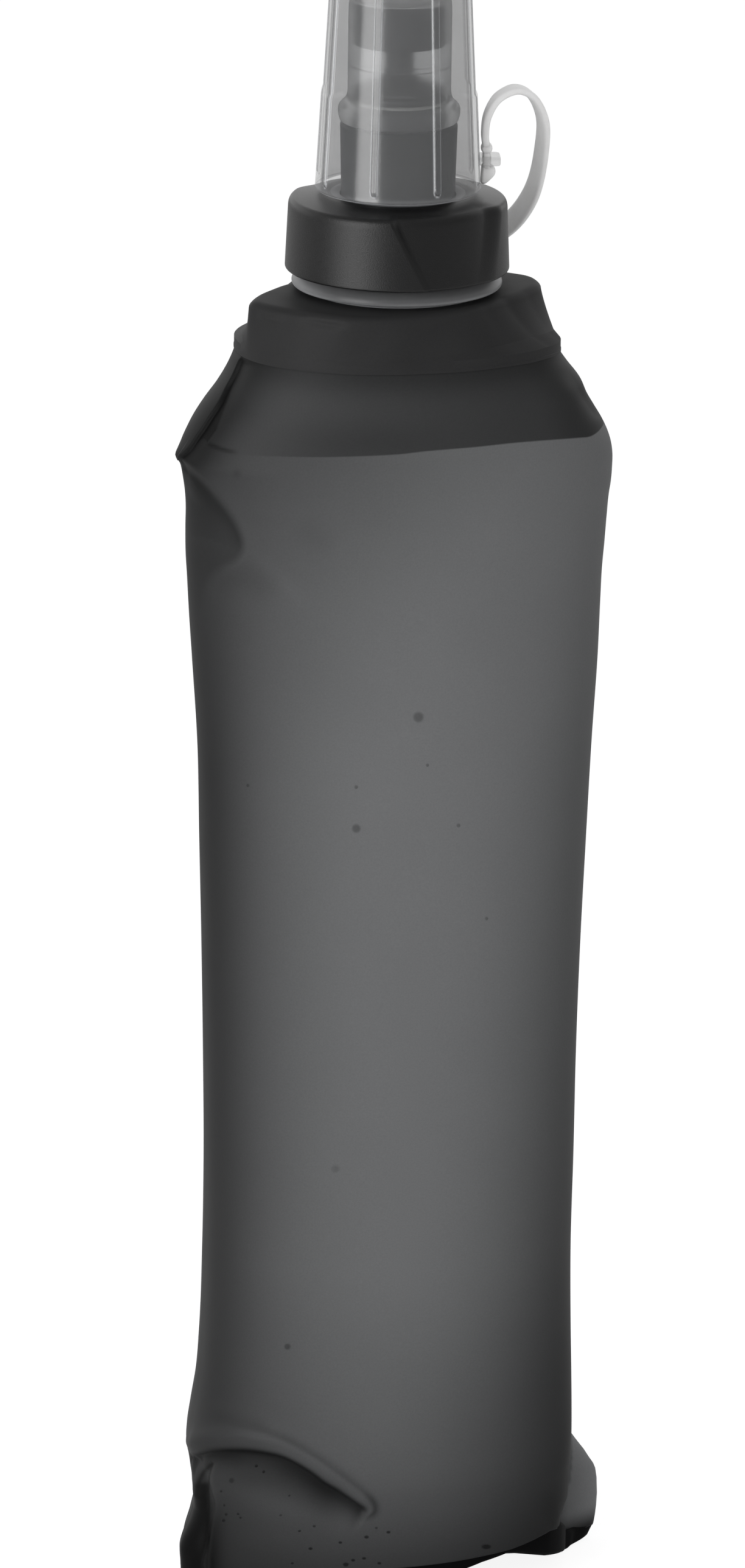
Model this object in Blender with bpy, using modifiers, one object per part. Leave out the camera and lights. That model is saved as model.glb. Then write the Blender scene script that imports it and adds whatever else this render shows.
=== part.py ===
"""Collapsible water bottle with a screw cap, a push-pull mouthpiece and a tethered dust cap.

Metres, +Z up. The origin is on the floor under the middle of the base; X runs along the
bottle's width. The cap's own pieces are built facing -Y and turned together by CAP_CLOCK.
"""

import math
from typing import NamedTuple

import bmesh
import bpy
from mathutils import Vector


class Section(NamedTuple):
    """An oval cross-section: half sizes along X and Y, and how square its corners are."""

    half_width: float
    half_depth: float
    squareness: float


# Clearances
SEAT_GAP = 0.0003
SLIDE_GAP = 0.0003
THREAD_GAP = 0.0005
POST_GAP = 0.0003
WELD_GAP = 0.0003
SEAM_GAP = 0.0005

# Soft film body, between its two weld seams
FILM_HEIGHT = 0.2836
FILM_WALL = 0.0007
BASE_SECTION = Section(0.0458, 0.0276, 2.6)
HEEL_SECTION = Section(0.0438, 0.0288, 2.6)
LOW_SECTION = Section(0.0434, 0.0298, 2.5)
WAIST_SECTION = Section(0.0426, 0.0300, 2.4)
MIDDLE_SECTION = Section(0.0434, 0.0300, 2.3)
CHEST_SECTION = Section(0.0449, 0.0296, 2.2)
UPPER_SECTION = Section(0.0469, 0.0290, 2.05)
BEND_SECTION = Section(0.0484, 0.0284, 1.95)
SLOPE_SECTION = Section(0.0454, 0.0284, 1.98)
TOP_SECTION = Section(0.0359, 0.0288, 2.2)
HEEL_RISE = 0.0150
BEND_DROP = 0.0262
UPPER_DROP = 0.0520
SLOPE_DROP = 0.0150
PINCH_SWELL = 0.0012
PINCH_SPREAD = 0.0080
EAR_SWELL = 0.0066
LEFT_EAR_SWELL = 0.0034
EAR_RISE = 0.0075
EAR_SPREAD = 0.0090
EAR_TURN = 9.0
FILM_CROWDING = 0.11

# Base cup
BASE_HEIGHT = 0.0080
BASE_LAND = 0.0030
BASE_FLOOR = 0.0016
BASE_FOOT_INSET = 0.0050
LAND_WALL = 0.0009

# Shoulder
SHOULDER_HEIGHT = 0.0140
SHOULDER_LAND = 0.0030
SHOULDER_WALL = 0.0014
PLATE_SIDE = 0.0086
PLATE_FRONT = 0.0026
PLATE_SQUARENESS = 2.3
PLATE_EDGE = 0.0022

# Threaded neck
NECK_RADIUS = 0.0200
NECK_WALL = 0.0022
NECK_ENGAGEMENT = 0.0110
NECK_LIP_EDGE = 0.0005
NECK_FLANGE_REACH = 0.0036
NECK_FLANGE = 0.0017
NECK_SPIGOT = 0.0028
THREAD_PITCH = 0.0040
THREAD_DEPTH = 0.0012
THREAD_ROOT = 0.0022
THREAD_CREST = 0.0012
THREAD_SINK = 0.0004
THREAD_RISE = 0.0025
NECK_THREAD_TURNS = 1.25
COLLAR_THREAD_TURNS = 1.0

# Tether: the ring under the collar and the strap to the dust cap
RING_HEIGHT = 0.0038
RING_WALL = 0.0020
RING_GAP = 0.0004
RING_EDGE = 0.0006
STRAP_WIDTH = 0.0044
STRAP_NECK_WIDTH = 0.0030
STRAP_THICKNESS = 0.0015
BEAD_RADIUS = 0.0013
BEAD_OVERHANG = 0.0006
BARB_HEIGHT = 0.0032
BARB_REACH = 0.0021
BARB_OVERHANG = 0.0003

# Screw collar
COLLAR_THREAD_ROOM = 0.0012
COLLAR_WALL = 0.0027
COLLAR_DRAFT = 0.0007
COLLAR_EDGE = 0.0040
COLLAR_ROOF = 0.0030
COLLAR_STEP = 0.0015
COLLAR_STEP_INSET = 0.0007
COLLAR_CROWN = 0.0006
COLLAR_FOOT_GAP = 0.0006
GRIP_DEPTH = 0.0012
GRIP_DROP = 0.0022
GRIP_LEDGE = 0.0010
GRIP_TOP_SPAN = 76.0
GRIP_FOOT_SPAN = 44.0
GRIP_TURN = -56.0

# Washer and spout
GASKET_THICKNESS = 0.0010
GASKET_OVERHANG = 0.0006
SPOUT_FLANGE = 0.0014
SPOUT_FLANGE_ROOM = 0.0014
SPOUT_DRAFT = 0.0004
SPOUT_HEIGHT = 0.0205
SPOUT_WALL = 0.0016
SPOUT_EDGE = 0.0005
POST_HEIGHT = 0.0069
POST_WALL = 0.0015
POST_EDGE = 0.0004
O_RING_RADIUS = 0.00055
O_RING_DROP = 0.0022
O_RING_SQUEEZE = 0.0002

# Mouthpiece and the stopper inside it
SLEEVE_RADIUS = 0.0115
SLEEVE_WALL = 0.0009
SLEEVE_HEIGHT = 0.0288
SLEEVE_ROOF = 0.0014
MOUTH_TRAVEL = 0.0035
BULB_SWELL = 0.0022
BULB_LIP = 0.0006
BULB_HEIGHT = 0.0049
DRINK_HOLE = 0.0040
STOP_RIB = 0.0006
HEAD_HEIGHT = 0.0092
HEAD_SINK = 0.0007
HEAD_EDGE = 0.0005
NIPPLE_SINK = 0.0005
STEM_RADIUS = 0.0032
BELL_RISE = 0.0046
BELL_RIM = 0.0006
BELL_INSET = 0.0004
STEM_SPIGOT = 0.0028
SPIGOT_WALL = 0.0011
WINDOW_RADIUS = 0.0014
WINDOWS = 4

# Dust cap
DUST_ROOM = 0.00485
DUST_TAPER = 3.02
DUST_WALL = 0.0012
DUST_HEADROOM = 0.0011
DUST_EDGE = 0.0025
DUST_RIM_EDGE = 0.0005
RIB_WIDTH = 0.0018
RIB_PROUD = 0.0004
RIB_ROOT = 0.0005
RIB_RISE = 0.0022
RIBS = 8
RIB_TURN = -15.0
LOBE_DEPTH = 0.00035
LOBE_RISE = 0.0220
LOBE_SPAN = 86.0
LOBE_TURN = 2.0
LUG_RISE = 0.0052
LUG_THICKNESS = 0.0028
LUG_END = 0.00205
LUG_SIDE = 0.0015
SLOT_GAP = 0.0003
SLOT_OUT = 0.0014
LUG_TURN = 3.0

# The cap stops at this angle on the body, in degrees
CAP_CLOCK = -12.0

# Facets
FILM_SIDES = 40
FILM_LEVELS = 21
CAP_SIDES = 48
SPOUT_SIDES = 32

# Heights that follow from the stack
seam_low = BASE_HEIGHT
seam_high = seam_low + FILM_HEIGHT
film_foot = seam_low - BASE_LAND + SEAT_GAP + SEAM_GAP
film_head = seam_high + SHOULDER_LAND - SEAT_GAP - SEAM_GAP
plate_top = seam_high + SHOULDER_HEIGHT
ring_foot = plate_top + SEAT_GAP
collar_foot = ring_foot + RING_HEIGHT + COLLAR_FOOT_GAP
thread_foot = collar_foot + THREAD_RISE
neck_lip = collar_foot + NECK_ENGAGEMENT
gasket_foot = neck_lip + SEAT_GAP
spout_foot = gasket_foot + GASKET_THICKNESS + SEAT_GAP
collar_ceiling = spout_foot + SPOUT_FLANGE + SEAT_GAP
collar_top = collar_ceiling + COLLAR_ROOF - COLLAR_STEP
dust_seat = collar_ceiling + COLLAR_ROOF
dust_rim = dust_seat + SEAT_GAP
spout_step = spout_foot + SPOUT_HEIGHT
post_top = spout_step + POST_HEIGHT
sleeve_foot = spout_step + SEAT_GAP
sleeve_top = sleeve_foot + SLEEVE_HEIGHT
head_top = sleeve_top - SLEEVE_ROOF - HEAD_SINK
head_foot = head_top - HEAD_HEIGHT
dust_ceiling = sleeve_top + MOUTH_TRAVEL + DUST_HEADROOM
dust_top = dust_ceiling + DUST_WALL

# Radii that follow from what fits inside what
neck_bore = NECK_RADIUS - NECK_WALL
neck_crest = NECK_RADIUS + THREAD_DEPTH
neck_flange_radius = NECK_RADIUS + NECK_FLANGE_REACH
ring_bore = neck_crest + RING_GAP
ring_radius = ring_bore + RING_WALL
collar_bore = neck_crest + COLLAR_THREAD_ROOM
collar_radius = collar_bore + COLLAR_WALL
collar_top_radius = collar_radius - COLLAR_DRAFT
sleeve_bore = SLEEVE_RADIUS - SLEEVE_WALL
bulb_radius = SLEEVE_RADIUS + BULB_SWELL
post_radius = sleeve_bore - POST_GAP
post_bore = post_radius - POST_WALL
groove_radius = post_radius - 2 * O_RING_RADIUS + O_RING_SQUEEZE
head_radius = sleeve_bore - SLIDE_GAP
spout_top_radius = bulb_radius - BULB_LIP
spout_radius = spout_top_radius - SPOUT_DRAFT
collar_hole = spout_radius + SEAT_GAP
dust_radius = bulb_radius + DUST_ROOM

# Widths of the lug and its slot, which the strap's narrow end passes through
slot_width = STRAP_NECK_WIDTH + 2 * SLOT_GAP
slot_depth = STRAP_THICKNESS + 2 * SLOT_GAP
lug_width = slot_width + 2 * LUG_SIDE
lug_reach = SLOT_OUT + slot_depth / 2 + LUG_END


def clear_scene():
    """Remove whatever the file already holds."""
    for item in list(bpy.data.objects):
        bpy.data.objects.remove(item, do_unlink=True)


def new_collection(name):
    """Return a new collection linked to the scene."""
    collection = bpy.data.collections.new(name)
    bpy.context.scene.collection.children.link(collection)
    return collection


clear_scene()
PARTS = new_collection("collapsible_water_bottle")
CUTTERS = new_collection("cutters")


def material(name, color, roughness, alpha=1.0):
    """Return a plastic or rubber material."""
    finish = bpy.data.materials.new(name)
    finish.use_nodes = True
    shader = finish.node_tree.nodes["Principled BSDF"]
    shader.inputs["Base Color"].default_value = (*color, 1.0)
    shader.inputs["Roughness"].default_value = roughness
    shader.inputs["Metallic"].default_value = 0.0
    shader.inputs["Alpha"].default_value = alpha
    finish.diffuse_color = (*color, alpha)
    return finish


def add_object(name, mesh, finish=None, cutter=False):
    """Link a mesh as a part, or as a cutter that isn't one."""
    item = bpy.data.objects.new(name, mesh)
    (CUTTERS if cutter else PARTS).objects.link(item)
    if cutter:
        item.hide_render = True
        item.display_type = "WIRE"
    elif finish:
        mesh.materials.append(finish)
    return item


def smooth(item):
    """Shade a round piece smooth, with its corners kept sharp."""
    item.data.shade_smooth()
    item.data.set_sharp_from_angle(angle=math.radians(35))


def axis_empty(name, height, parent=None):
    """Add an empty on the bottle's axis at a height, for pieces that move together."""
    empty = bpy.data.objects.new(name, None)
    empty.empty_display_size = 0.01
    PARTS.objects.link(empty)
    empty.location.z = height
    attach(empty, parent)
    return empty


def attach(item, parent):
    """Parent an item that was built in world heights to an empty on the axis."""
    if parent is None:
        return
    item.parent = parent
    item.location.z -= world_height(parent)


def world_height(item):
    """Return an empty's height above the floor, through its parents."""
    height = item.location.z
    return height + world_height(item.parent) if item.parent else height


def boolean(item, other, operation):
    """Cut or join another object, which becomes a guide."""
    step = item.modifiers.new(f"{operation.lower()} {other.name}", "BOOLEAN")
    step.operation = operation
    step.solver = "EXACT"
    step.object = other


def cut(item, cutter):
    """Cut a cutter out of a part."""
    boolean(item, cutter, "DIFFERENCE")


def join(item, addition):
    """Join an addition to a part."""
    boolean(item, addition, "UNION")


def arc(radius, height, size, start, end, steps):
    """Return profile points on an arc, with its angles in degrees from +R towards +Z."""
    points = []
    for index in range(steps + 1):
        angle = math.radians(start + (end - start) * index / steps)
        points.append((radius + size * math.cos(angle), height + size * math.sin(angle)))
    return points


def turned(name, profile, finish=None, sides=CAP_SIDES, closed=True, cutter=False):
    """Turn a profile of (radius, height) about the axis, outer side listed top to bottom."""
    mesh = bpy.data.meshes.new(name)
    points = [(radius, 0.0, height) for radius, height in profile]
    edges = [(index, index + 1) for index in range(len(points) - 1)]
    if closed:
        edges.append((len(points) - 1, 0))
    mesh.from_pydata(points, edges, [])
    item = add_object(name, mesh, finish, cutter)
    screw = item.modifiers.new("turn", "SCREW")
    screw.axis = "Z"
    screw.angle = math.tau
    screw.steps = sides
    screw.render_steps = sides
    screw.use_merge_vertices = True
    screw.merge_threshold = 0.00001
    screw.use_smooth_shade = True
    return item


def oval(section, height, sides, swell=None):
    """Return one ring of points round an oval section."""
    points = []
    power = 2.0 / section.squareness
    for index in range(sides):
        turn = math.tau * index / sides
        cosine, sine = math.cos(turn), math.sin(turn)
        x = section.half_width * math.copysign(abs(cosine) ** power, cosine)
        y = section.half_depth * math.copysign(abs(sine) ** power, sine)
        point = Vector((x, y, height))
        if swell:
            out = Vector((x, y, 0.0)).normalized()
            point += out * swell(turn, height)
        points.append(point)
    return points


def shrink(section, amount):
    """Return a section whose wall line lies further in, or further out if negative."""
    width = section.half_width - amount
    depth = section.half_depth - amount
    return Section(width, depth, section.squareness)


def circle(radius):
    """Return a round section."""
    return Section(radius, radius, 2.0)


def loft(name, rings, finish, capped=False, cutter=False):
    """Skin a run of rings: outer side upwards, then inner side downwards.

    A capped loft starts with its underside and ends with its inner floor; any other
    closes on its first ring.
    """
    mesh = bpy.data.meshes.new(name)
    build = bmesh.new()
    loops = [[build.verts.new(point) for point in ring] for ring in rings]
    pairs = list(zip(loops, loops[1:]))
    if not capped:
        pairs.append((loops[-1], loops[0]))
    for lower, upper in pairs:
        count = len(lower)
        for index in range(count):
            after = (index + 1) % count
            build.faces.new((lower[index], lower[after], upper[after], upper[index]))
    if capped:
        build.faces.new(list(reversed(loops[0])))
        build.faces.new(loops[-1])
    build.to_mesh(mesh)
    build.free()
    item = add_object(name, mesh, finish, cutter)
    smooth(item)
    return item


def box(name, size, place, cutter=False):
    """Add a box from a unit cube."""
    mesh = bpy.data.meshes.new(name)
    build = bmesh.new()
    bmesh.ops.create_cube(build, size=1.0)
    bmesh.ops.scale(build, vec=size, verts=build.verts)
    build.to_mesh(mesh)
    build.free()
    item = add_object(name, mesh, cutter=cutter)
    item.location = place
    return item


def cylinder(name, radius, length, place, sides, along="Z", cutter=False):
    """Add a capped cylinder along Z, or along Y."""
    mesh = bpy.data.meshes.new(name)
    build = bmesh.new()
    bmesh.ops.create_cone(
        build, cap_ends=True, segments=sides, radius1=radius, radius2=radius, depth=length
    )
    build.to_mesh(mesh)
    build.free()
    item = add_object(name, mesh, cutter=cutter)
    item.location = place
    if along == "Y":
        item.rotation_euler.x = math.radians(90)
    return item


def prism(name, outline, depth, cutter=False):
    """Extrude a flat outline of (x, z) points evenly to both sides of the XZ plane."""
    curve = bpy.data.curves.new(name, "CURVE")
    curve.dimensions = "2D"
    curve.fill_mode = "BOTH"
    curve.extrude = depth / 2
    spline = curve.splines.new("POLY")
    spline.points.add(len(outline) - 1)
    for point, (x, z) in zip(spline.points, outline):
        point.co = (x, z, 0.0, 1.0)
    spline.use_cyclic_u = True
    holder = bpy.data.objects.new(name + "_outline", curve)
    PARTS.objects.link(holder)
    graph = bpy.context.evaluated_depsgraph_get()
    mesh = bpy.data.meshes.new_from_object(holder.evaluated_get(graph))
    bpy.data.objects.remove(holder, do_unlink=True)
    build = bmesh.new()
    build.from_mesh(mesh)
    bmesh.ops.remove_doubles(build, verts=build.verts, dist=0.000001)
    bmesh.ops.recalc_face_normals(build, faces=build.faces)
    build.to_mesh(mesh)
    build.free()
    item = add_object(name, mesh, cutter=cutter)
    item.rotation_euler.x = math.radians(90)
    return item


def thread(name, root_radius, crest_radius, first_height, first_turn, turns):
    """Return a helical ridge, sunk a little behind its root, whose ends run out."""
    sink = math.copysign(THREAD_SINK, root_radius - crest_radius)
    steps = round(turns * CAP_SIDES)
    run_out = CAP_SIDES // 12
    rings = []
    for step in range(steps + 1):
        turn = math.radians(first_turn) + math.tau * (step + 0.5) / CAP_SIDES
        height = first_height + THREAD_PITCH * step / CAP_SIDES
        rise = min(1.0, 0.15 + min(step, steps - step) / run_out)
        crest = root_radius + (crest_radius - root_radius) * rise
        side = Vector((math.cos(turn), math.sin(turn), 0.0))
        section = [
            (root_radius + sink, -THREAD_ROOT / 2),
            (crest, -THREAD_CREST / 2),
            (crest, THREAD_CREST / 2),
            (root_radius + sink, THREAD_ROOT / 2),
        ]
        rings.append([side * r + Vector((0.0, 0.0, height + up)) for r, up in section])
    return loft(name, rings, None, capped=True, cutter=True)


def fix_normals(item):
    """Point every face of a closed mesh outwards."""
    build = bmesh.new()
    build.from_mesh(item.data)
    bmesh.ops.recalc_face_normals(build, faces=build.faces)
    build.to_mesh(item.data)
    build.free()


def sector(name, levels, steps=8):
    """Return a closed sector of a sleeve: levels of (height, inner, outer, start, end)."""
    rings = []
    for height, inner, outer, start, end in levels:
        turns = [math.radians(start + (end - start) * step / steps) for step in range(steps + 1)]
        ring = [(inner * math.cos(turn), inner * math.sin(turn), height) for turn in turns]
        ring += [
            (outer * math.cos(turn), outer * math.sin(turn), height) for turn in reversed(turns)
        ]
        rings.append(ring)
    item = loft(name, rings, None, capped=True, cutter=True)
    fix_normals(item)
    return item


# Film body

def film_stations():
    """Return the film's sections by height, from the base seam to the shoulder seam."""
    heel = seam_low + HEEL_RISE
    upper = seam_high - UPPER_DROP
    run = upper - heel
    return [
        (seam_low, BASE_SECTION),
        (heel, HEEL_SECTION),
        (heel + run * 0.16, LOW_SECTION),
        (heel + run * 0.36, WAIST_SECTION),
        (heel + run * 0.60, MIDDLE_SECTION),
        (heel + run * 0.82, CHEST_SECTION),
        (upper, UPPER_SECTION),
        (seam_high - BEND_DROP, BEND_SECTION),
        (seam_high - SLOPE_DROP, SLOPE_SECTION),
        (seam_high, TOP_SECTION),
    ]


def film_section(height):
    """Return the film's section at a height, on a smooth curve through the stations."""
    stations = film_stations()
    height = min(max(height, stations[0][0]), stations[-1][0])
    index = 0
    while index < len(stations) - 2 and height > stations[index + 1][0]:
        index += 1
    low, high = stations[index], stations[index + 1]
    before = stations[max(index - 1, 0)]
    after = stations[min(index + 2, len(stations) - 1)]
    span = high[0] - low[0]
    share = (height - low[0]) / span
    values = []
    for field in range(3):
        start, end = low[1][field], high[1][field]
        rise_in = (end - before[1][field]) / (high[0] - before[0]) * span
        rise_out = (after[1][field] - start) / (after[0] - low[0]) * span
        values.append(hermite(start, end, rise_in, rise_out, share))
    return Section(*values)


def hermite(start, end, rise_in, rise_out, share):
    """Return a value on the cubic between two values with the given rises."""
    square, cube = share**2, share**3
    return (
        start * (2 * cube - 3 * square + 1)
        + rise_in * (cube - 2 * square + share)
        + end * (3 * square - 2 * cube)
        + rise_out * (cube - square)
    )


def bump(value, centre, spread):
    """Return a smooth bump of height 1 at its centre."""
    return math.exp(-(((value - centre) / spread) ** 2))


def angle_from(turn, degrees):
    """Return how far a turn lies from an angle, in degrees, at most 180."""
    return abs((math.degrees(turn) - degrees + 180.0) % 360.0 - 180.0)


def film_swell(turn, height):
    """Return how far the film stands out: the pinched corner and the two base ears."""
    if height <= seam_low or height >= seam_high:
        return 0.0
    pinch = PINCH_SWELL * bump(height, seam_high - BEND_DROP, PINCH_SPREAD)
    pinch *= bump(angle_from(turn, 180.0), 0.0, 11.0)
    ear = min(1.0, 2 * (height - seam_low) / EAR_RISE) * bump(height, seam_low + EAR_RISE, EAR_SPREAD)
    right = EAR_SWELL * bump(angle_from(turn, EAR_TURN), 0.0, 13.0)
    left = LEFT_EAR_SWELL * bump(angle_from(turn, 180.0 + EAR_TURN), 0.0, 13.0)
    return pinch + ear * (right + left)


def film_heights():
    """Return the heights of the film's rings, closer together towards both ends."""
    heights = [film_foot]
    for level in range(FILM_LEVELS + 1):
        share = level / FILM_LEVELS
        share -= FILM_CROWDING * math.sin(math.tau * share)
        heights.append(seam_low + FILM_HEIGHT * share)
    return heights + [film_head]


def make_body_film(finish):
    """Build the soft tube, tucked behind the weld land at each end."""
    heights = film_heights()
    outer = []
    inner = []
    for height in heights:
        section = film_section(height)
        outer.append(oval(section, height, FILM_SIDES, film_swell))
        inner.append(oval(shrink(section, FILM_WALL), height, FILM_SIDES, film_swell))
    return loft("body_film", outer + inner[::-1], finish)


def make_base_cup(finish):
    """Build the moulded base: flat foot, rounded heel and the upright weld land."""
    land = shrink(BASE_SECTION, -(WELD_GAP + LAND_WALL))
    inside = shrink(BASE_SECTION, -WELD_GAP)
    foot = shrink(land, BASE_FOOT_INSET)
    land_foot = seam_low - BASE_LAND
    rings = [oval(foot, 0.0, FILM_SIDES)]
    for step in (1, 2, 3):
        turn = math.radians(30 * step)
        section = shrink(land, BASE_FOOT_INSET * (1 - math.sin(turn)))
        rings.append(oval(section, land_foot * (1 - math.cos(turn)), FILM_SIDES))
    rings.append(oval(land, seam_low, FILM_SIDES))
    rings.append(oval(inside, seam_low, FILM_SIDES))
    rings.append(oval(inside, land_foot + SEAT_GAP, FILM_SIDES))
    rings.append(oval(shrink(foot, BASE_FLOOR), BASE_FLOOR, FILM_SIDES))
    return loft("base_cup", rings, finish, capped=True)


def make_shoulder(finish):
    """Build the moulded shoulder: weld land, sloping wall and top plate with the neck's hole."""
    land = shrink(TOP_SECTION, -(WELD_GAP + LAND_WALL))
    inside = shrink(TOP_SECTION, -WELD_GAP)
    plate = Section(
        neck_flange_radius + PLATE_SIDE, neck_flange_radius + PLATE_FRONT, PLATE_SQUARENESS
    )
    hole = circle(NECK_RADIUS + SEAT_GAP)
    land_top = seam_high + SHOULDER_LAND
    outer = [(land, seam_high), (land, land_top)]
    for step in (0, 1, 2, 3):
        turn = math.radians(30 * step)
        edge = PLATE_EDGE * (1 - math.cos(turn))
        outer.append((shrink(plate, edge), plate_top - PLATE_EDGE * (1 - math.sin(turn))))
    outer.append((hole, plate_top))
    underside = plate_top - SHOULDER_WALL
    inner = [
        (hole, underside),
        (shrink(plate, PLATE_EDGE), underside),
        (shrink(plate, SHOULDER_WALL), underside - PLATE_EDGE),
        (inside, land_top - SEAT_GAP),
        (inside, seam_high),
    ]
    rings = [oval(section, height, FILM_SIDES) for section, height in outer + inner]
    return loft("shoulder", rings, finish)


# Neck and tether

def make_neck_insert(finish):
    """Build the threaded neck, clamped under the shoulder's plate by its flange."""
    flange_top = plate_top - SHOULDER_WALL - SEAT_GAP
    flange_foot = flange_top - NECK_FLANGE
    foot = flange_foot - NECK_SPIGOT
    profile = [
        (NECK_RADIUS - NECK_LIP_EDGE, neck_lip),
        (NECK_RADIUS, neck_lip - NECK_LIP_EDGE),
        (NECK_RADIUS, flange_top),
        (neck_flange_radius, flange_top),
        (neck_flange_radius, flange_foot),
        (NECK_RADIUS, flange_foot),
        (NECK_RADIUS, foot),
        (neck_bore, foot),
        (neck_bore, neck_lip),
    ]
    neck = turned("neck_insert", profile, finish)
    ridge = thread("neck_thread", NECK_RADIUS, neck_crest, thread_foot, 0.0, NECK_THREAD_TURNS)
    fix_normals(ridge)
    join(neck, ridge)
    return neck, ridge


def ring_section():
    """Return the tether ring's profile: a band with chamfered outer corners."""
    top = ring_foot + RING_HEIGHT
    return [
        (ring_radius - 2 * RING_EDGE, top),
        (ring_radius, top - RING_EDGE),
        (ring_radius, ring_foot + RING_EDGE),
        (ring_radius - RING_EDGE, ring_foot),
        (ring_bore, ring_foot),
        (ring_bore, top),
    ]


def lug_height():
    """Return the height of the middle of the dust cap's lug."""
    return dust_rim + LUG_RISE + LUG_THICKNESS / 2


def dust_radius_at(height):
    """Return the tapered dust cap's outer radius at a height."""
    return dust_radius - (height - dust_rim) * math.tan(math.radians(DUST_TAPER))


def slot_radius():
    """Return how far from the axis the strap passes through the lug."""
    return dust_radius_at(lug_height()) + SLOT_OUT


def strap_route():
    """Return the strap's way from the ring's back up and over to the dust cap's lug.

    Each point is an angle round the axis, a radius and a height. The lower points are
    placed from the ring and the collar, the upper ones from the lug and its slot.
    """
    ring_middle = ring_foot + RING_HEIGHT / 2
    collar = collar_radius
    lug, slot = lug_height(), slot_radius()
    return [
        (68.0, ring_bore + RING_WALL / 2, ring_middle),
        (67.0, ring_radius + 0.0028, ring_middle + 0.0002),
        (61.0, collar + 0.0046, ring_middle + 0.0012),
        (52.0, collar + 0.0070, ring_middle + 0.0034),
        (43.5, collar + 0.0086, ring_middle + 0.0072),
        (36.5, collar + 0.0093, ring_middle + 0.0122),
        (31.0, collar + 0.0094, ring_middle + 0.0180),
        (25.8, slot + 0.0148, lug - 0.0012),
        (20.8, slot + 0.0138, lug + 0.0057),
        (15.8, slot + 0.0112, lug + 0.0112),
        (11.2, slot + 0.0076, lug + 0.0139),
        (7.2, slot + 0.0040, lug + 0.0128),
        (4.3, slot + 0.0012, lug + 0.0095),
        (LUG_TURN + 0.2, slot + 0.0001, lug + 0.0058),
        (LUG_TURN, slot, lug + 0.0024),
        (LUG_TURN, slot, lug - LUG_THICKNESS / 2 - SEAT_GAP - 0.0006),
    ]


def spline_points(points, per_span):
    """Return points on a smooth curve through the given ones."""
    result = []
    last = len(points) - 1
    for index in range(last):
        before, after = points[max(index - 1, 0)], points[min(index + 2, last)]
        start, end = points[index], points[index + 1]
        for step in range(per_span):
            share = step / per_span
            place = [
                hermite(start[k], end[k], (end[k] - before[k]) / 2, (after[k] - start[k]) / 2, share)
                for k in range(3)
            ]
            result.append(Vector(place))
    result.append(Vector(points[last]))
    return result


def strap_rings(route, per_span):
    """Return the strap's rectangular rings; its face looks at the axis all the way."""
    corners = []
    for turn, radius, height in route:
        angle = math.radians(turn)
        corners.append((radius * math.cos(angle), radius * math.sin(angle), height))
    path = spline_points(corners, per_span)
    count = len(path)
    upper = 6.5 * per_span
    rings = []
    for index, point in enumerate(path):
        ahead = path[min(index + 1, count - 1)] - path[max(index - 1, 0)]
        ahead.normalize()
        out = Vector((point.x, point.y, 0.0)).normalized()
        around = Vector((-out.y, out.x, 0.0))
        share = min(max((index - upper) / per_span + 0.5, 0.0), 1.0)
        across = (-out.cross(ahead)).lerp(around, share)
        if index < 2 * per_span:
            across = around
        across = (across - ahead * across.dot(ahead)).normalized()
        face = across.cross(ahead).normalized()
        width = strap_width(index / (count - 1))
        half_width, half_thick = across * width / 2, face * STRAP_THICKNESS / 2
        rings.append(
            [
                point - half_width - half_thick,
                point + half_width - half_thick,
                point + half_width + half_thick,
                point - half_width + half_thick,
            ]
        )
    return rings


def strap_width(share):
    """Return the strap's width, which narrows where it passes the lug."""
    narrow = min(max((share - 0.80) / 0.12, 0.0), 1.0)
    return STRAP_WIDTH + (STRAP_NECK_WIDTH - STRAP_WIDTH) * narrow


def make_tether(finish):
    """Build the ring and strap as one moulding, with the bead and barb at its free end."""
    ring = turned("tether_strap", ring_section(), finish)
    strap = loft("strap_run", strap_rings(strap_route(), 3), None, capped=True, cutter=True)
    fix_normals(strap)
    slot, lug = slot_radius(), lug_height()
    bead_height = lug + LUG_THICKNESS / 2 + SEAT_GAP + BEAD_RADIUS
    bead_length = STRAP_NECK_WIDTH + 2 * BEAD_OVERHANG
    bead_place = (slot, 0.0, bead_height)
    bead = cylinder("strap_bead", BEAD_RADIUS, bead_length, bead_place, 16, "Y", cutter=True)
    top = lug - LUG_THICKNESS / 2 - SEAT_GAP
    wall = dust_radius_at(lug) + SEAT_GAP
    outline = [
        (wall, top),
        (slot + BARB_REACH - 0.0008, top),
        (slot + BARB_REACH, top - BARB_HEIGHT * 0.28),
        (slot + BARB_REACH - 0.0002, top - BARB_HEIGHT * 0.5),
        (wall + 0.0009, top - BARB_HEIGHT),
        (wall + 0.0002, top - BARB_HEIGHT * 0.94),
    ]
    barb = prism("strap_barb", outline, slot_width + 2 * BARB_OVERHANG, cutter=True)
    for piece in (bead, barb):
        piece.rotation_euler.z = math.radians(LUG_TURN)
        turn_place(piece, LUG_TURN)
    for piece in (strap, bead, barb):
        join(ring, piece)
    return ring, [strap, bead, barb]


def turn_place(item, degrees):
    """Turn an item's place about the axis."""
    turn = math.radians(degrees)
    x, y = item.location.x, item.location.y
    item.location.x = x * math.cos(turn) - y * math.sin(turn)
    item.location.y = x * math.sin(turn) + y * math.cos(turn)


# Screw collar

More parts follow.
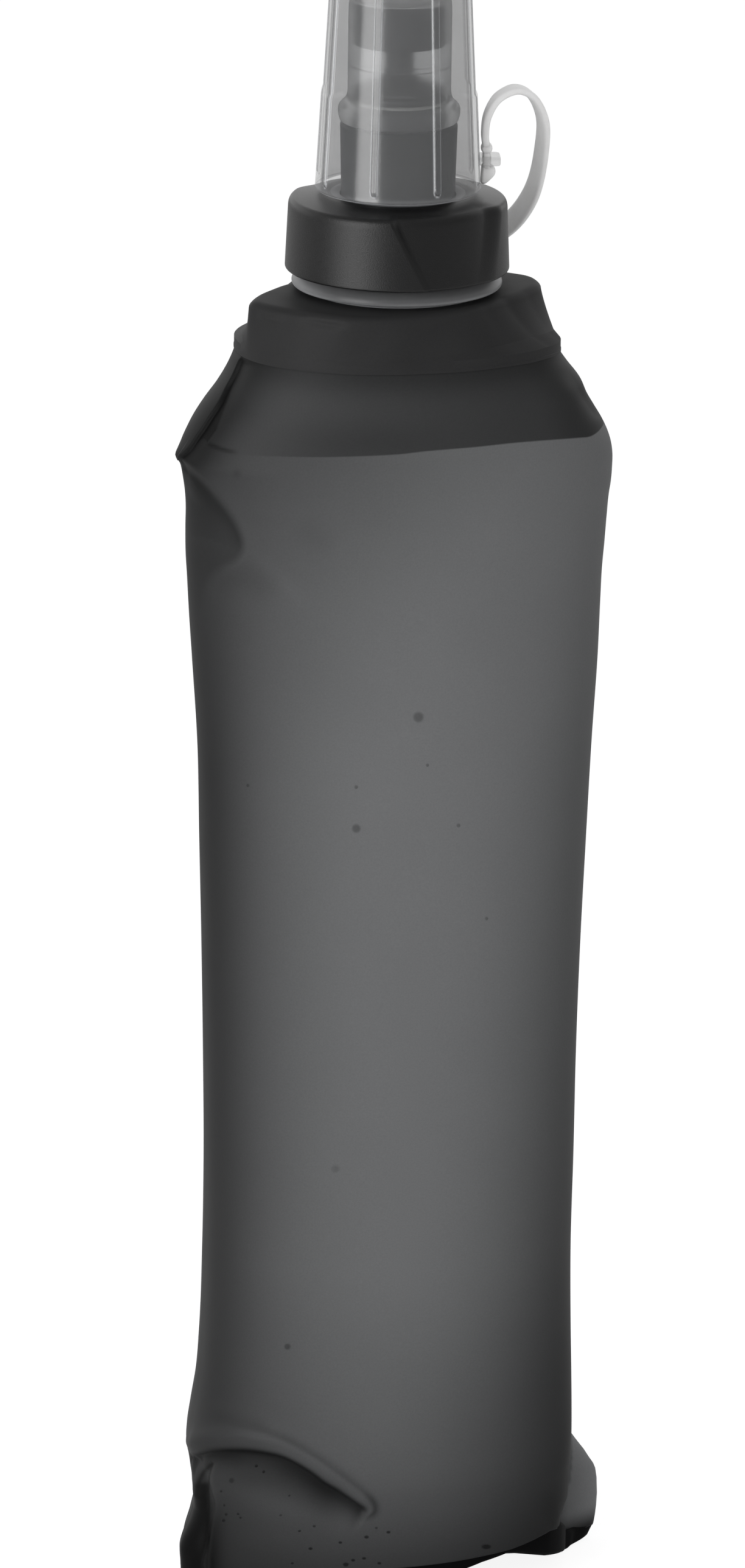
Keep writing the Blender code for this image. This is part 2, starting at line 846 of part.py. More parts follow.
def collar_outer():
    """Return the collar's outer side from the roof's step down to the foot."""
    step_radius = dust_radius - COLLAR_STEP_INSET
    edge_centre = collar_top_radius - COLLAR_EDGE
    edge_height = collar_top - COLLAR_CROWN - COLLAR_EDGE
    points = [(step_radius, dust_seat), (step_radius, collar_top)]
    points += arc(edge_centre, edge_height, COLLAR_EDGE, 75, 5, 4)
    points += [(collar_radius, collar_foot + 0.0008), (collar_radius - 0.0004, collar_foot)]
    return points


def make_collar(finish):
    """Build the screw collar with its thread, roof hole and two sculpted grips."""
    profile = collar_outer() + [
        (collar_bore + 0.0004, collar_foot),
        (collar_bore, collar_foot + 0.0006),
        (collar_bore, collar_ceiling),
        (collar_hole, collar_ceiling),
        (collar_hole, dust_seat),
    ]
    collar = turned("collar", profile, finish)
    first = thread_foot + THREAD_PITCH * (90.0 / 360.0 - 0.5)
    crest = NECK_RADIUS + THREAD_GAP
    ridge = thread("collar_thread", collar_bore, crest, first, 90.0, COLLAR_THREAD_TURNS)
    fix_normals(ridge)
    join(collar, ridge)
    grips = [grip_cutter(side) for side in (0, 1)]
    for grip in grips:
        cut(collar, grip)
    return collar, [ridge] + grips


def grip_cutter(side):
    """Return the cutter of one grip: deep under the collar's top, running out at its foot."""
    middle = GRIP_TURN + 180.0 * side
    top, foot = GRIP_TOP_SPAN / 2, GRIP_FOOT_SPAN / 2
    shallow = collar_radius - 0.0001
    deep = collar_top_radius - GRIP_DEPTH
    far = collar_radius + 0.005
    corner = collar_top - GRIP_DROP
    levels = [
        (collar_foot - 0.001, shallow, far, middle - foot, middle + foot),
        (corner, deep, far, middle - top, middle + top),
        (corner + GRIP_LEDGE, deep + 0.0004, far, middle - top - 1, middle + top + 1),
    ]
    return sector(f"grip_{side}", levels)


# Washer, spout and valve

def make_gasket(finish):
    """Build the washer on the neck's lip."""
    outer = NECK_RADIUS + GASKET_OVERHANG
    gasket_top = gasket_foot + GASKET_THICKNESS
    profile = [(outer, gasket_top), (outer, gasket_foot), (neck_bore, gasket_foot), (neck_bore, gasket_top)]
    return turned("neck_gasket", profile, finish)


def make_spout(finish):
    """Build the spout: flange, tapered wall, and the post with its O-ring groove."""
    groove = post_top - O_RING_DROP
    groove_half = O_RING_RADIUS + 0.0001
    bore = spout_radius - SPOUT_WALL
    flange_radius = collar_bore - SPOUT_FLANGE_ROOM
    flange_top = spout_foot + SPOUT_FLANGE
    profile = [
        (post_radius - POST_EDGE, post_top),
        (post_radius, post_top - POST_EDGE),
        (post_radius, groove + groove_half),
        (groove_radius, groove + groove_half),
        (groove_radius, groove - groove_half),
        (post_radius, groove - groove_half),
        (post_radius, spout_step),
        (spout_top_radius - SPOUT_EDGE, spout_step),
        (spout_top_radius, spout_step - SPOUT_EDGE),
        (spout_radius, dust_seat),
        (spout_radius, flange_top),
        (flange_radius, flange_top),
        (flange_radius, spout_foot),
        (bore, spout_foot),
        (bore, spout_step - 0.0040),
        (post_bore, spout_step - 0.0015),
        (post_bore, post_top),
    ]
    return turned("spout_base", profile, finish, SPOUT_SIDES)


def make_o_ring(finish):
    """Build the O-ring in the post's groove."""
    middle = groove_radius + 0.00005 + O_RING_RADIUS
    profile = arc(middle, post_top - O_RING_DROP, O_RING_RADIUS, 90, -210, 5)
    return turned("mouthpiece_o_ring", profile, finish, SPOUT_SIDES)


def make_valve_stem(finish):
    """Build the T-shaped stopper: nipple, head, stem, bell and the spigot in the post."""
    bell_foot = post_top + SEAT_GAP
    bell_top = bell_foot + BELL_RISE
    bell_radius = post_radius - BELL_INSET
    nipple = DRINK_HOLE - SLIDE_GAP
    nipple_top = sleeve_top - NIPPLE_SINK
    spigot = post_bore - SEAT_GAP
    spigot_bore = spigot - SPIGOT_WALL
    spigot_foot = bell_foot - STEM_SPIGOT
    flare = bell_radius - STEM_RADIUS
    profile = [(0.0, nipple_top), (nipple - 0.0004, nipple_top), (nipple, nipple_top - 0.0004)]
    profile += [(nipple, head_top), (head_radius - HEAD_EDGE, head_top)]
    profile += [(head_radius, head_top - HEAD_EDGE), (head_radius, head_foot)]
    profile += [(STEM_RADIUS, head_foot), (STEM_RADIUS, bell_top)]
    for step in (1, 2, 3, 4):
        share = step / 4
        drop = (BELL_RISE - BELL_RIM) * (1 - (1 - share) ** 2)
        profile.append((STEM_RADIUS + flare * share**1.6, bell_top - drop))
    profile += [(bell_radius, bell_foot), (spigot, bell_foot), (spigot, spigot_foot)]
    profile += [(spigot_bore, spigot_foot), (spigot_bore, bell_foot - 0.0006)]
    profile += [(STEM_RADIUS, bell_foot + 0.0010), (0.0, bell_foot + 0.0014)]
    stem = turned("valve_stem", profile, finish, SPOUT_SIDES, closed=False)
    windows = []
    window_radius = (STEM_RADIUS + spigot_bore) / 2
    for index in range(WINDOWS):
        turn = math.tau * (index + 0.5) / WINDOWS
        place = (window_radius * math.cos(turn), window_radius * math.sin(turn), bell_foot)
        window = cylinder(f"stem_window_{index}", WINDOW_RADIUS, 0.012, place, 12, cutter=True)
        cut(stem, window)
        windows.append(window)
    return stem, windows


def make_mouthpiece(finish):
    """Build the push-pull sleeve with its drinking hole, stop rib and bulb."""
    bulb_top = sleeve_foot + BULB_HEIGHT
    bulb_middle = sleeve_foot + BULB_HEIGHT * 0.48
    rib = head_foot - MOUTH_TRAVEL - SEAT_GAP
    roof = sleeve_top - SLEEVE_ROOF
    profile = [
        (DRINK_HOLE + 0.0003, sleeve_top),
        (SLEEVE_RADIUS - 0.0009, sleeve_top),
        (SLEEVE_RADIUS - 0.0002, sleeve_top - 0.0005),
        (SLEEVE_RADIUS, sleeve_top - 0.0014),
        (SLEEVE_RADIUS, bulb_top + 0.0014),
        (SLEEVE_RADIUS + 0.0004, bulb_top),
        (bulb_radius - 0.0005, bulb_middle + 0.0012),
        (bulb_radius, bulb_middle),
        (bulb_radius - 0.0002, bulb_middle - 0.0012),
        (bulb_radius - BULB_LIP, sleeve_foot),
        (sleeve_bore, sleeve_foot),
        (sleeve_bore, rib - 0.0012),
        (sleeve_bore - STOP_RIB, rib - 0.0008),
        (sleeve_bore - STOP_RIB, rib),
        (sleeve_bore, rib),
        (sleeve_bore, roof),
        (DRINK_HOLE, roof),
        (DRINK_HOLE, sleeve_top - 0.0003),
    ]
    return turned("mouthpiece", profile, finish, SPOUT_SIDES)


# Dust cap

def make_dust_cap(finish):
    """Build the clear cap: tapered wall, rounded top, ribs, finger lobes and the lug."""
    edge_height = dust_top - DUST_EDGE
    top_radius = dust_radius_at(edge_height)
    inner_edge = DUST_EDGE - DUST_WALL
    profile = [(0.0, dust_top)]
    profile += arc(top_radius - DUST_EDGE, edge_height, DUST_EDGE, 90, 0, 4)
    profile += [(dust_radius, dust_rim + 2 * DUST_RIM_EDGE), (dust_radius - DUST_RIM_EDGE, dust_rim)]
    profile += [(dust_radius - DUST_WALL, dust_rim)]
    profile += arc(top_radius - DUST_EDGE, edge_height, inner_edge, 0, 90, 3)
    profile += [(0.0, dust_ceiling)]
    cap = turned("dust_cap", profile, finish, closed=False)
    helpers = []
    for side in (0, 1):
        helpers.append(lobe_cutter(side, edge_height))
        cut(cap, helpers[-1])
    for index in range(RIBS):
        helpers.append(rib(index, edge_height))
        join(cap, helpers[-1])
    lug, slot = lug_pieces()
    join(cap, lug)
    cut(cap, slot)
    return cap, helpers + [lug, slot]


def lobe_cutter(side, edge_height):
    """Return the cutter of one shallow finger lobe in the cap's upper part."""
    middle = LOBE_TURN + 180.0 * side
    start, end = middle - LOBE_SPAN / 2, middle + LOBE_SPAN / 2
    foot = dust_rim + LOBE_RISE
    far = dust_radius + 0.004
    levels = []
    for height in (foot, edge_height):
        levels.append((height, dust_radius_at(height) - LOBE_DEPTH, far, start, end))
    return sector(f"lobe_{side}", levels, 12)


def rib(index, edge_height):
    """Return one raised rib, leaning with the cap's taper."""
    turn = math.radians(RIB_TURN - 90.0 + 360.0 * index / RIBS)
    length = edge_height - dust_rim - RIB_RISE
    height = dust_rim + RIB_RISE + length / 2
    depth = RIB_ROOT + RIB_PROUD
    radius = dust_radius_at(height) + RIB_PROUD - depth / 2
    place = (radius * math.cos(turn), radius * math.sin(turn), height)
    item = box(f"rib_{index}", (depth, RIB_WIDTH, length), place, cutter=True)
    item.rotation_euler = (0.0, -math.radians(DUST_TAPER), turn)
    return item


def lug_pieces():
    """Return the lug that stands out of the cap, and the slot through it."""
    height = lug_height()
    wall = dust_radius_at(height)
    root = wall - DUST_WALL * 0.6
    reach = wall + lug_reach
    lug_size = (reach - root, lug_width, LUG_THICKNESS)
    lug = box("lug", lug_size, ((reach + root) / 2, 0.0, height), cutter=True)
    slot_size = (slot_depth, slot_width, 2 * LUG_THICKNESS)
    slot = box("lug_slot", slot_size, (slot_radius(), 0.0, height), cutter=True)
    for piece in (lug, slot):
        piece.rotation_euler.z = math.radians(LUG_TURN)
        turn_place(piece, LUG_TURN)
    return lug, slot


def main():
    """Build every piece and hang it on its axis."""
    film = material("smoke_film", (0.10, 0.10, 0.105), 0.22, 0.85)
    moulding = material("black_moulding", (0.018, 0.018, 0.019), 0.55)
    textured = material("black_texture", (0.022, 0.022, 0.023), 0.62)
    clear_hard = material("natural_hard", (0.55, 0.56, 0.57), 0.30, 0.8)
    seal = material("seal_rubber", (0.60, 0.60, 0.58), 0.60)
    grey = material("spout_grey", (0.085, 0.088, 0.092), 0.45)
    stem_grey = material("stem_grey", (0.10, 0.103, 0.107), 0.50)
    frosted = material("frosted_sleeve", (0.70, 0.71, 0.73), 0.35, 0.7)
    clear = material("clear_cap", (0.80, 0.81, 0.83), 0.08, 0.35)
    strap = material("natural_strap", (0.66, 0.65, 0.65), 0.38, 0.85)

    top_axis = axis_empty("top_axis", seam_high)
    lift_axis = axis_empty("lift_axis", neck_lip, top_axis)
    cap_axis = axis_empty("cap_axis", collar_foot, lift_axis)
    pull_axis = axis_empty("pull_axis", sleeve_foot, cap_axis)
    dust_axis = axis_empty("dust_axis", dust_rim, cap_axis)

    make_base_cup(moulding)
    make_body_film(film)
    attach(make_shoulder(moulding), top_axis)
    neck, neck_ridge = make_neck_insert(clear_hard)
    attach(neck, top_axis)
    attach(neck_ridge, top_axis)
    attach(make_gasket(seal), lift_axis)

    tether, tether_helpers = make_tether(strap)
    collar, collar_helpers = make_collar(textured)
    stem, windows = make_valve_stem(stem_grey)
    turning = [tether, collar, stem, make_spout(grey), make_o_ring(seal)]
    for item in turning + tether_helpers + collar_helpers + windows:
        attach(item, cap_axis)
    attach(make_mouthpiece(frosted), pull_axis)
    dust_cap, dust_helpers = make_dust_cap(clear)
    for item in [dust_cap] + dust_helpers:
        attach(item, dust_axis)
    cap_axis.rotation_euler.z = math.radians(CAP_CLOCK)


main()
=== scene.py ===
"""Dressed scene of the collapsible water bottle, in metres with +Z up.

The solids come from the frame. Each sub-assembly builds the visible pieces that stand for
them, and the studio adds the floor, the light and the camera at the photographed angle.
"""

import logging
import math
from dataclasses import dataclass
from enum import Enum
from typing import Iterable, Iterator, Sequence

import bmesh
import bpy
import numpy as np
from mathutils import Matrix, Vector


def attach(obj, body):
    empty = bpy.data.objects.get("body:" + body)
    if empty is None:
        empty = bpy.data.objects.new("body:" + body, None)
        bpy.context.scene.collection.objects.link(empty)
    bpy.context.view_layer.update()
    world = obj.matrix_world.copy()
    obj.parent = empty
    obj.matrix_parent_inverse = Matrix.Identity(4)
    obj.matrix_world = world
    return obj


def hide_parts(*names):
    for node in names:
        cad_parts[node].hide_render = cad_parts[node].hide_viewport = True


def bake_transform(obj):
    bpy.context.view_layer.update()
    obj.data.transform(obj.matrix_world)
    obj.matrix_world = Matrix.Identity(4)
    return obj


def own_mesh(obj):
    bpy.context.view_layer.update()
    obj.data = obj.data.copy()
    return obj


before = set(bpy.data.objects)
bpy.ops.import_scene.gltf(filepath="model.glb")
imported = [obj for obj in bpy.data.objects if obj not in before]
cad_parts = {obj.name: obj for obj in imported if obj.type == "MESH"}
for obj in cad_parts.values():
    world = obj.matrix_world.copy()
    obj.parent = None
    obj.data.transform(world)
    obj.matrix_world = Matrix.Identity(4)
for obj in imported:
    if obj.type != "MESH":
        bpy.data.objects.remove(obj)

LOG = logging.getLogger("water_bottle")
Array = np.ndarray
Pair = tuple[float, float]
Triple = tuple[float, float, float]
Sides = Pair | float


class Carrier(Enum):
    """The bodies that a piece can ride on."""

    BASE = "root"
    TOP = "top"
    SEAL = "seal_lift"
    CAP = "cap"
    MOUTHPIECE = "mouthpiece"
    DUST_CAP = "dust_cap"


class Slot(Enum):
    """The record's material slots."""

    FILM = "smoke_film"
    MOULDING = "black_moulding"
    TEXTURE = "black_texture"
    NECK = "natural_hard"
    SEAL = "seal_rubber"
    SPOUT = "spout_grey"
    STEM = "stem_grey"
    SLEEVE = "frosted_sleeve"
    CLEAR = "clear_cap"
    STRAP = "natural_strap"


# Camera


def stand(azimuth: float, distance: float, height: float) -> Vector:
    """Return a place by its angle from the front in degrees, its distance and its height."""
    turn = math.radians(azimuth)
    return Vector((distance * math.sin(turn), -distance * math.cos(turn), height))


@dataclass(frozen=True)
class Viewpoint:
    """The photographed angle: a long lens a little left of the front and looking down."""

    width: int = 1224
    height: int = 2576
    focal: float = 14720.0
    distance: float = 1.9487
    eye_height: float = 0.7779
    azimuth: float = -12.0
    pitch: float = 16.8
    roll: float = 0.74
    axis_offset: float = 30.0
    graze: Pair = (0.02, 0.30)

    def place(self) -> Vector:
        """Return where the camera stands."""
        return stand(self.azimuth, self.distance, self.eye_height)

    def axes(self) -> tuple[Vector, Vector, Vector]:
        """Return the camera's right, up and backward directions."""
        turn = math.radians(self.azimuth) + math.atan(self.axis_offset / self.focal)
        tilt = math.radians(self.pitch)
        roll = math.radians(self.roll)
        heading = Vector((-math.sin(turn), math.cos(turn), 0.0))
        level = Vector((math.cos(turn), math.sin(turn), 0.0))
        forward = heading * math.cos(tilt) - Vector((0.0, 0.0, math.sin(tilt)))
        upright = level.cross(forward)
        up = upright * math.cos(roll) - level * math.sin(roll)
        right = level * math.cos(roll) + upright * math.sin(roll)
        return right, up, -forward

    def pixels(self, points: Array) -> Array:
        """Return where points fall in the frame.

        Args:
            points: places in metres, one row each.

        Returns:
            Pixels across and down, one row each.
        """
        right, up, back = (np.array(axis) for axis in self.axes())
        away = points - np.array(self.place())
        depth = -away @ back
        across = self.width / 2 + self.focal * (away @ right) / depth
        down = self.height / 2 - self.focal * (away @ up) / depth
        return np.stack([across, down], axis=-1)

    def facing(self, points: Array, normals: Array) -> Array:
        """Return how squarely each point of a surface faces the camera, from 0 to 1."""
        away = np.array(self.place()) - points
        away /= np.linalg.norm(away, axis=-1, keepdims=True)
        return ease((away * normals).sum(axis=-1), *self.graze)


# Shader nodes


@dataclass(frozen=True)
class Signal:
    """A socket's value, whose operators add Math nodes."""

    graph: "Graph"
    socket: bpy.types.NodeSocket

    def math(self, operation: str, *values: "Signal | float", clamp: bool = False) -> "Signal":
        """Return the result of a Math node on these values."""
        settings = {"operation": operation, "use_clamp": clamp}
        return self.graph.node("ShaderNodeMath", settings, dict(enumerate(values)))

    def __add__(self, other: "Signal | float") -> "Signal":
        """Return the sum."""
        return self.math("ADD", self, other)

    def __radd__(self, other: float) -> "Signal":
        """Return the sum with a number on the left."""
        return self.math("ADD", other, self)

    def __sub__(self, other: "Signal | float") -> "Signal":
        """Return the difference."""
        return self.math("SUBTRACT", self, other)

    def __rsub__(self, other: float) -> "Signal":
        """Return a number less this value."""
        return self.math("SUBTRACT", other, self)

    def __mul__(self, other: "Signal | float") -> "Signal":
        """Return the product."""
        return self.math("MULTIPLY", self, other)

    def __rmul__(self, other: float) -> "Signal":
        """Return the product with a number on the left."""
        return self.math("MULTIPLY", other, self)

    def ramp(self, low: float, high: float) -> "Signal":
        """Return this value's smooth way from one bound to the other, from 0 to 1."""
        settings = {"interpolation_type": "SMOOTHSTEP"}
        return self.graph.node(
            "ShaderNodeMapRange", settings, {"Value": self, "From Min": low, "From Max": high}
        )


class Graph:
    """A node tree, filled through one method that makes any node."""

    def __init__(self, tree: bpy.types.NodeTree) -> None:
        """Hold the tree."""
        self.tree = tree

    def node(self, kind: str, settings: dict | None = None, inputs: dict | None = None) -> Signal:
        """Add a node.

        Args:
            kind: the node's type.
            settings: its own settings, such as an operation, set before its sockets.
            inputs: values or signals, by socket name or number.

        Returns:
            The node's first output in use.
        """
        made = self.tree.nodes.new(kind)
        for name, value in (settings or {}).items():
            setattr(made, name, value)
        for key, value in (inputs or {}).items():
            self.feed(made.inputs[key], value)
        shown = [socket for socket in made.outputs if socket.enabled]
        return Signal(self, shown[0]) if shown else Signal(self, made.inputs[0])

    def feed(self, socket: bpy.types.NodeSocket, value: "Signal | float | Sequence[float]") -> None:
        """Link a signal to a socket, or set the socket's own value."""
        if isinstance(value, Signal):
            self.tree.links.new(value.socket, socket)
        else:
            socket.default_value = value

    def output(self, signal: Signal, name: str) -> Signal:
        """Return another output of the node that a signal comes from."""
        return Signal(self, signal.socket.node.outputs[name])

    def rest(self) -> Signal:
        """Return the place at rest, which stays put on a piece that bends."""
        attribute = self.node("ShaderNodeAttribute", {"attribute_name": "rest"})
        return self.output(attribute, "Vector")

    def place(self) -> Signal:
        """Return the place on a piece that keeps its shape."""
        return self.output(self.node("ShaderNodeTexCoord"), "Object")

    def attribute(self, name: str) -> Signal:
        """Return a value that the mesh carries."""
        found = self.node("ShaderNodeAttribute", {"attribute_name": name})
        return self.output(found, "Fac")

    def split(self, vector: Signal) -> tuple[Signal, Signal, Signal]:
        """Return a vector's three parts."""
        parts = self.node("ShaderNodeSeparateXYZ", None, {0: vector})
        return parts, self.output(parts, "Y"), self.output(parts, "Z")

    def noise(self, place: Signal, size: float, detail: float = 2.0) -> Signal:
        """Return even noise whose lumps are about this size in metres."""
        inputs = {"Vector": place, "Scale": 1.0 / size, "Detail": detail, "Roughness": 0.55}
        return self.node("ShaderNodeTexNoise", {"noise_dimensions": "3D"}, inputs)

    def grey(self, value: Signal, tint: Triple = (1.0, 1.0, 1.0)) -> Signal:
        """Return a tint scaled by a value, as a colour."""
        scale = {0: tint, "Scale": value}
        return self.node("ShaderNodeVectorMath", {"operation": "SCALE"}, scale)

    def bump(self, height: Signal, strength: float, distance: float) -> Signal:
        """Return the normal of a surface raised by a height."""
        inputs = {"Strength": strength, "Distance": distance, "Height": height}
        return self.node("ShaderNodeBump", None, inputs)


@dataclass(frozen=True)
class Swing:
    """A level, and what the fine and the broad noise add to it at their fullest."""

    level: float
    fine: float = 0.0
    broad: float = 0.0

    def value(self, fine: Signal, broad: Signal, start: float = 0.0) -> Signal:
        """Return the varying value, counted from a start."""
        total = start + self.level
        for noise, share in ((fine, self.fine), (broad, self.broad)):
            if share:
                total = total + noise * share
        return total


@dataclass(frozen=True)
class Finish:
    """A surface finish: a fine and a broad noise move its tone, roughness and relief.

    Noise sizes are metres. The coarse relief is the size of one more noise and its share, and
    the bump is its strength and its height in metres.
    """

    slot: Slot
    color: Triple
    roughness: float
    specular: float = 0.5
    title: str = ""
    tint: Triple | None = None
    fine_size: float = 0.0005
    fine_detail: float = 2.0
    broad_size: float = 0.007
    tone: Swing = Swing(0.90, 0.2)
    wear: Swing = Swing(-0.05, 0.10)
    relief: Swing = Swing(0.0, 1.0)
    coarse: Pair = (0.0, 0.0)
    bump: Pair = (0.20, 0.00004)

    def place(self, graph: Graph) -> Signal:
        """Return the place that the noises are fixed to."""
        return graph.place()

    def shade(self, graph: Graph, place: Signal, tone: Signal) -> Signal:
        """Return the factor on the colour, to which a finish adds its own pattern."""
        return tone

    def paint(self, graph: Graph, shader: bpy.types.Node) -> tuple[Signal, Signal]:
        """Set the shader's sockets.

        Args:
            graph: the material's tree.
            shader: the material's shader.

        Returns:
            The fine and the broad noise, for what a finish adds.
        """
        shader.inputs["Base Color"].default_value = (*self.color, 1.0)
        shader.inputs["Roughness"].default_value = self.roughness
        shader.inputs["Specular IOR Level"].default_value = self.specular
        place = self.place(graph)
        fine = graph.noise(place, self.fine_size, self.fine_detail)
        broad = graph.noise(place, self.broad_size, 1.0)
        tone = self.shade(graph, place, self.tone.value(fine, broad))
        size, share = self.coarse
        if share:
            height = fine * (1.0 - share) + graph.noise(place, size) * share
        else:
            height = self.relief.value(fine, broad)
        graph.feed(shader.inputs["Base Color"], graph.grey(tone, self.tint or self.color))
        graph.feed(shader.inputs["Roughness"], self.wear.value(fine, broad, self.roughness))
        graph.feed(shader.inputs["Normal"], graph.bump(height, *self.bump))
        return fine, broad

    def material(self) -> bpy.types.Material:
        """Return the finish's material, made once."""
        name = f"{self.slot.value}_{type(self).__name__}{self.title}"
        known = bpy.data.materials.get(name)
        if known:
            return known
        made = bpy.data.materials.new(name)
        made.use_nodes = True
        made.diffuse_color = (*self.color, 1.0)
        self.paint(Graph(made.node_tree), made.node_tree.nodes["Principled BSDF"])
        return made


@dataclass(frozen=True)
class SmokeFilm(Finish):
    """Smoke-grey film with a satin skin, lighter where water stands behind it.

    Its stored tones also carry painted light and shade.
    """

    slot: Slot = Slot.FILM
    color: Triple = (0.10, 0.10, 0.105)
    roughness: float = 0.46
    specular: float = 0.09
    tint: Triple | None = (0.985, 1.0, 1.02)
    fine_size: float = 0.00040
    fine_detail: float = 3.0
    broad_size: float = 0.022
    tone: Swing = Swing(0.84, 0.24, 0.08)
    wear: Swing = Swing(-0.05, 0.0, 0.10)
    coarse: Pair = (0.0016, 0.5)
    bump: Pair = (0.30, 0.00006)
    line_half: float = 0.00022

    def place(self, graph: Graph) -> Signal:
        """Return the place at rest, because the film bends."""
        return graph.rest()

    def shade(self, graph: Graph, place: Signal, tone: Signal) -> Signal:
        """Mix the dry and the wet tone, both with painted light and shade, at the water line."""
        wet, dry = graph.attribute("wet_painted_tone"), graph.attribute("dry_painted_tone")
        above = graph.attribute("above").ramp(-self.line_half, self.line_half)
        return (wet + (dry - wet) * above) * tone


@dataclass(frozen=True)
class BlackMoulding(Finish):
    """Satin black moulding of the shoulder and the base, with a fine grain and cloudy wear."""

    slot: Slot = Slot.MOULDING
    color: Triple = (0.0245, 0.0245, 0.025)
    roughness: float = 0.52
    specular: float = 0.12
    fine_size: float = 0.0004
    broad_size: float = 0.012
    tone: Swing = Swing(0.75, 0.25, 0.25)
    wear: Swing = Swing(-0.06, 0.0, 0.12)
    bump: Pair = (0.20, 0.00005)


@dataclass(frozen=True)
class SparkTexture(Finish):
    """Spark-eroded black texture of the screw collar: a grain that catches light in points."""

    slot: Slot = Slot.TEXTURE
    color: Triple = (0.0035, 0.0035, 0.0037)
    roughness: float = 0.31
    specular: float = 0.52
    fine_size: float = 0.00021
    fine_detail: float = 3.0
    broad_size: float = 0.006
    tone: Swing = Swing(0.7, 0.5, 0.1)
    coarse: Pair = (0.00042, 0.1)
    bump: Pair = (0.90, 0.00007)
    seat_radii: Pair = (0.0148, 0.0153)
    seat_heights: Pair = (0.3262, 0.3264)
    # Painted light on the step inside the clear cap
    seat_painted_light: float = 75.0

    def shade(self, graph: Graph, place: Signal, tone: Signal) -> Signal:
        """Paint light onto the step inside the clear cap, where light gathers."""
        x, y, z = graph.split(place)
        square = x * x + y * y
        within = 1.0 - square.math("SQRT", square).ramp(*self.seat_radii)
        return tone + within * z.ramp(*self.seat_heights) * self.seat_painted_light


@dataclass(frozen=True)
class SatinGrey(Finish):
    """Satin dark grey moulding of the spout and the stopper, with faint flow marks."""

    slot: Slot = Slot.SPOUT
    color: Triple = (0.060, 0.062, 0.065)
    roughness: float = 0.36
    specular: float = 0.45
    tone: Swing = Swing(0.88, 0.10, 0.14)
    wear: Swing = Swing(-0.05, 0.0, 0.10)
    bump: Pair = (0.15, 0.00005)


@dataclass(frozen=True)
class SealRubber(Finish):
    """Pale silicone of the washer and the O-ring, with a dusty mottle."""

    slot: Slot = Slot.SEAL
    color: Triple = (0.60, 0.60, 0.58)
    roughness: float = 0.60
    specular: float = 0.35
    fine_size: float = 0.0011


@dataclass(frozen=True)
class MilkyPlastic(Finish):
    """Milky see-through moulding: the neck, and the tether's ring and strap.

    The lip is the height above which painted shade darkens the ring under the collar and
    below which painted light lightens it, and 0 for none.
    """

    slot: Slot = Slot.STRAP
    color: Triple = (0.93, 0.925, 0.92)
    roughness: float = 0.34
    specular: float = 0.40
    broad_size: float = 0.004
    tone: Swing = Swing(0.90, 0.06, 0.12)
    wear: Swing = Swing(-0.04, 0.10)
    bump: Pair = (0.18, 0.00004)
    scatter: float = 0.6
    depth: float = 0.0020
    lip: float = 0.0
    # Painted light on the ring below the lip, and painted shade above it
    lip_painted_light: float = 1.55
    lip_painted_shade: float = 0.85
    # Painted light that lightens the ring towards its two sides
    side_start: float = 0.90
    side_painted_light: float = 0.7
    side_squares: Pair = (0.00028, 0.00056)

    def place(self, graph: Graph) -> Signal:
        """Return the place at rest on the strap, which bends, and else the plain place."""
        return graph.rest() if self.slot is Slot.STRAP else graph.place()

    def shade(self, graph: Graph, place: Signal, tone: Signal) -> Signal:
        """Paint light under the ring's lip and on its two sides, and paint shade above the lip."""
        if not self.lip:
            return tone
        x, _, z = graph.split(place)
        over = z.ramp(self.lip - 0.0004, self.lip + 0.0006)
        tone = tone * (self.lip_painted_light - over * self.lip_painted_shade)
        return tone * (self.side_start + (x * x).ramp(*self.side_squares) * self.side_painted_light)

    def paint(self, graph: Graph, shader: bpy.types.Node) -> tuple[Signal, Signal]:
        """Scatter light inside the wall."""
        shader.inputs["Subsurface Weight"].default_value = self.scatter
        shader.inputs["Subsurface Radius"].default_value = (1.0, 1.0, 1.0)
        shader.inputs["Subsurface Scale"].default_value = self.depth
        return super().paint(graph, shader)


@dataclass(frozen=True)
class FrostedSleeve(Finish):
    """Frosted see-through sleeve that lets light through, blurred by a fine frost."""

    slot: Slot = Slot.SLEEVE
    color: Triple = (0.90, 0.905, 0.91)
    roughness: float = 0.30
    fine_size: float = 0.0006
    broad_size: float = 0.005
    tone: Swing = Swing(0.95, 0.0, 0.08)
    bump: Pair = (0.12, 0.00004)
    transmission: float = 0.95
    refraction: float = 1.30

    def paint(self, graph: Graph, shader: bpy.types.Node) -> tuple[Signal, Signal]:
        """Let light through."""
        shader.inputs["Transmission Weight"].default_value = self.transmission
        shader.inputs["IOR"].default_value = self.refraction
        return super().paint(graph, shader)


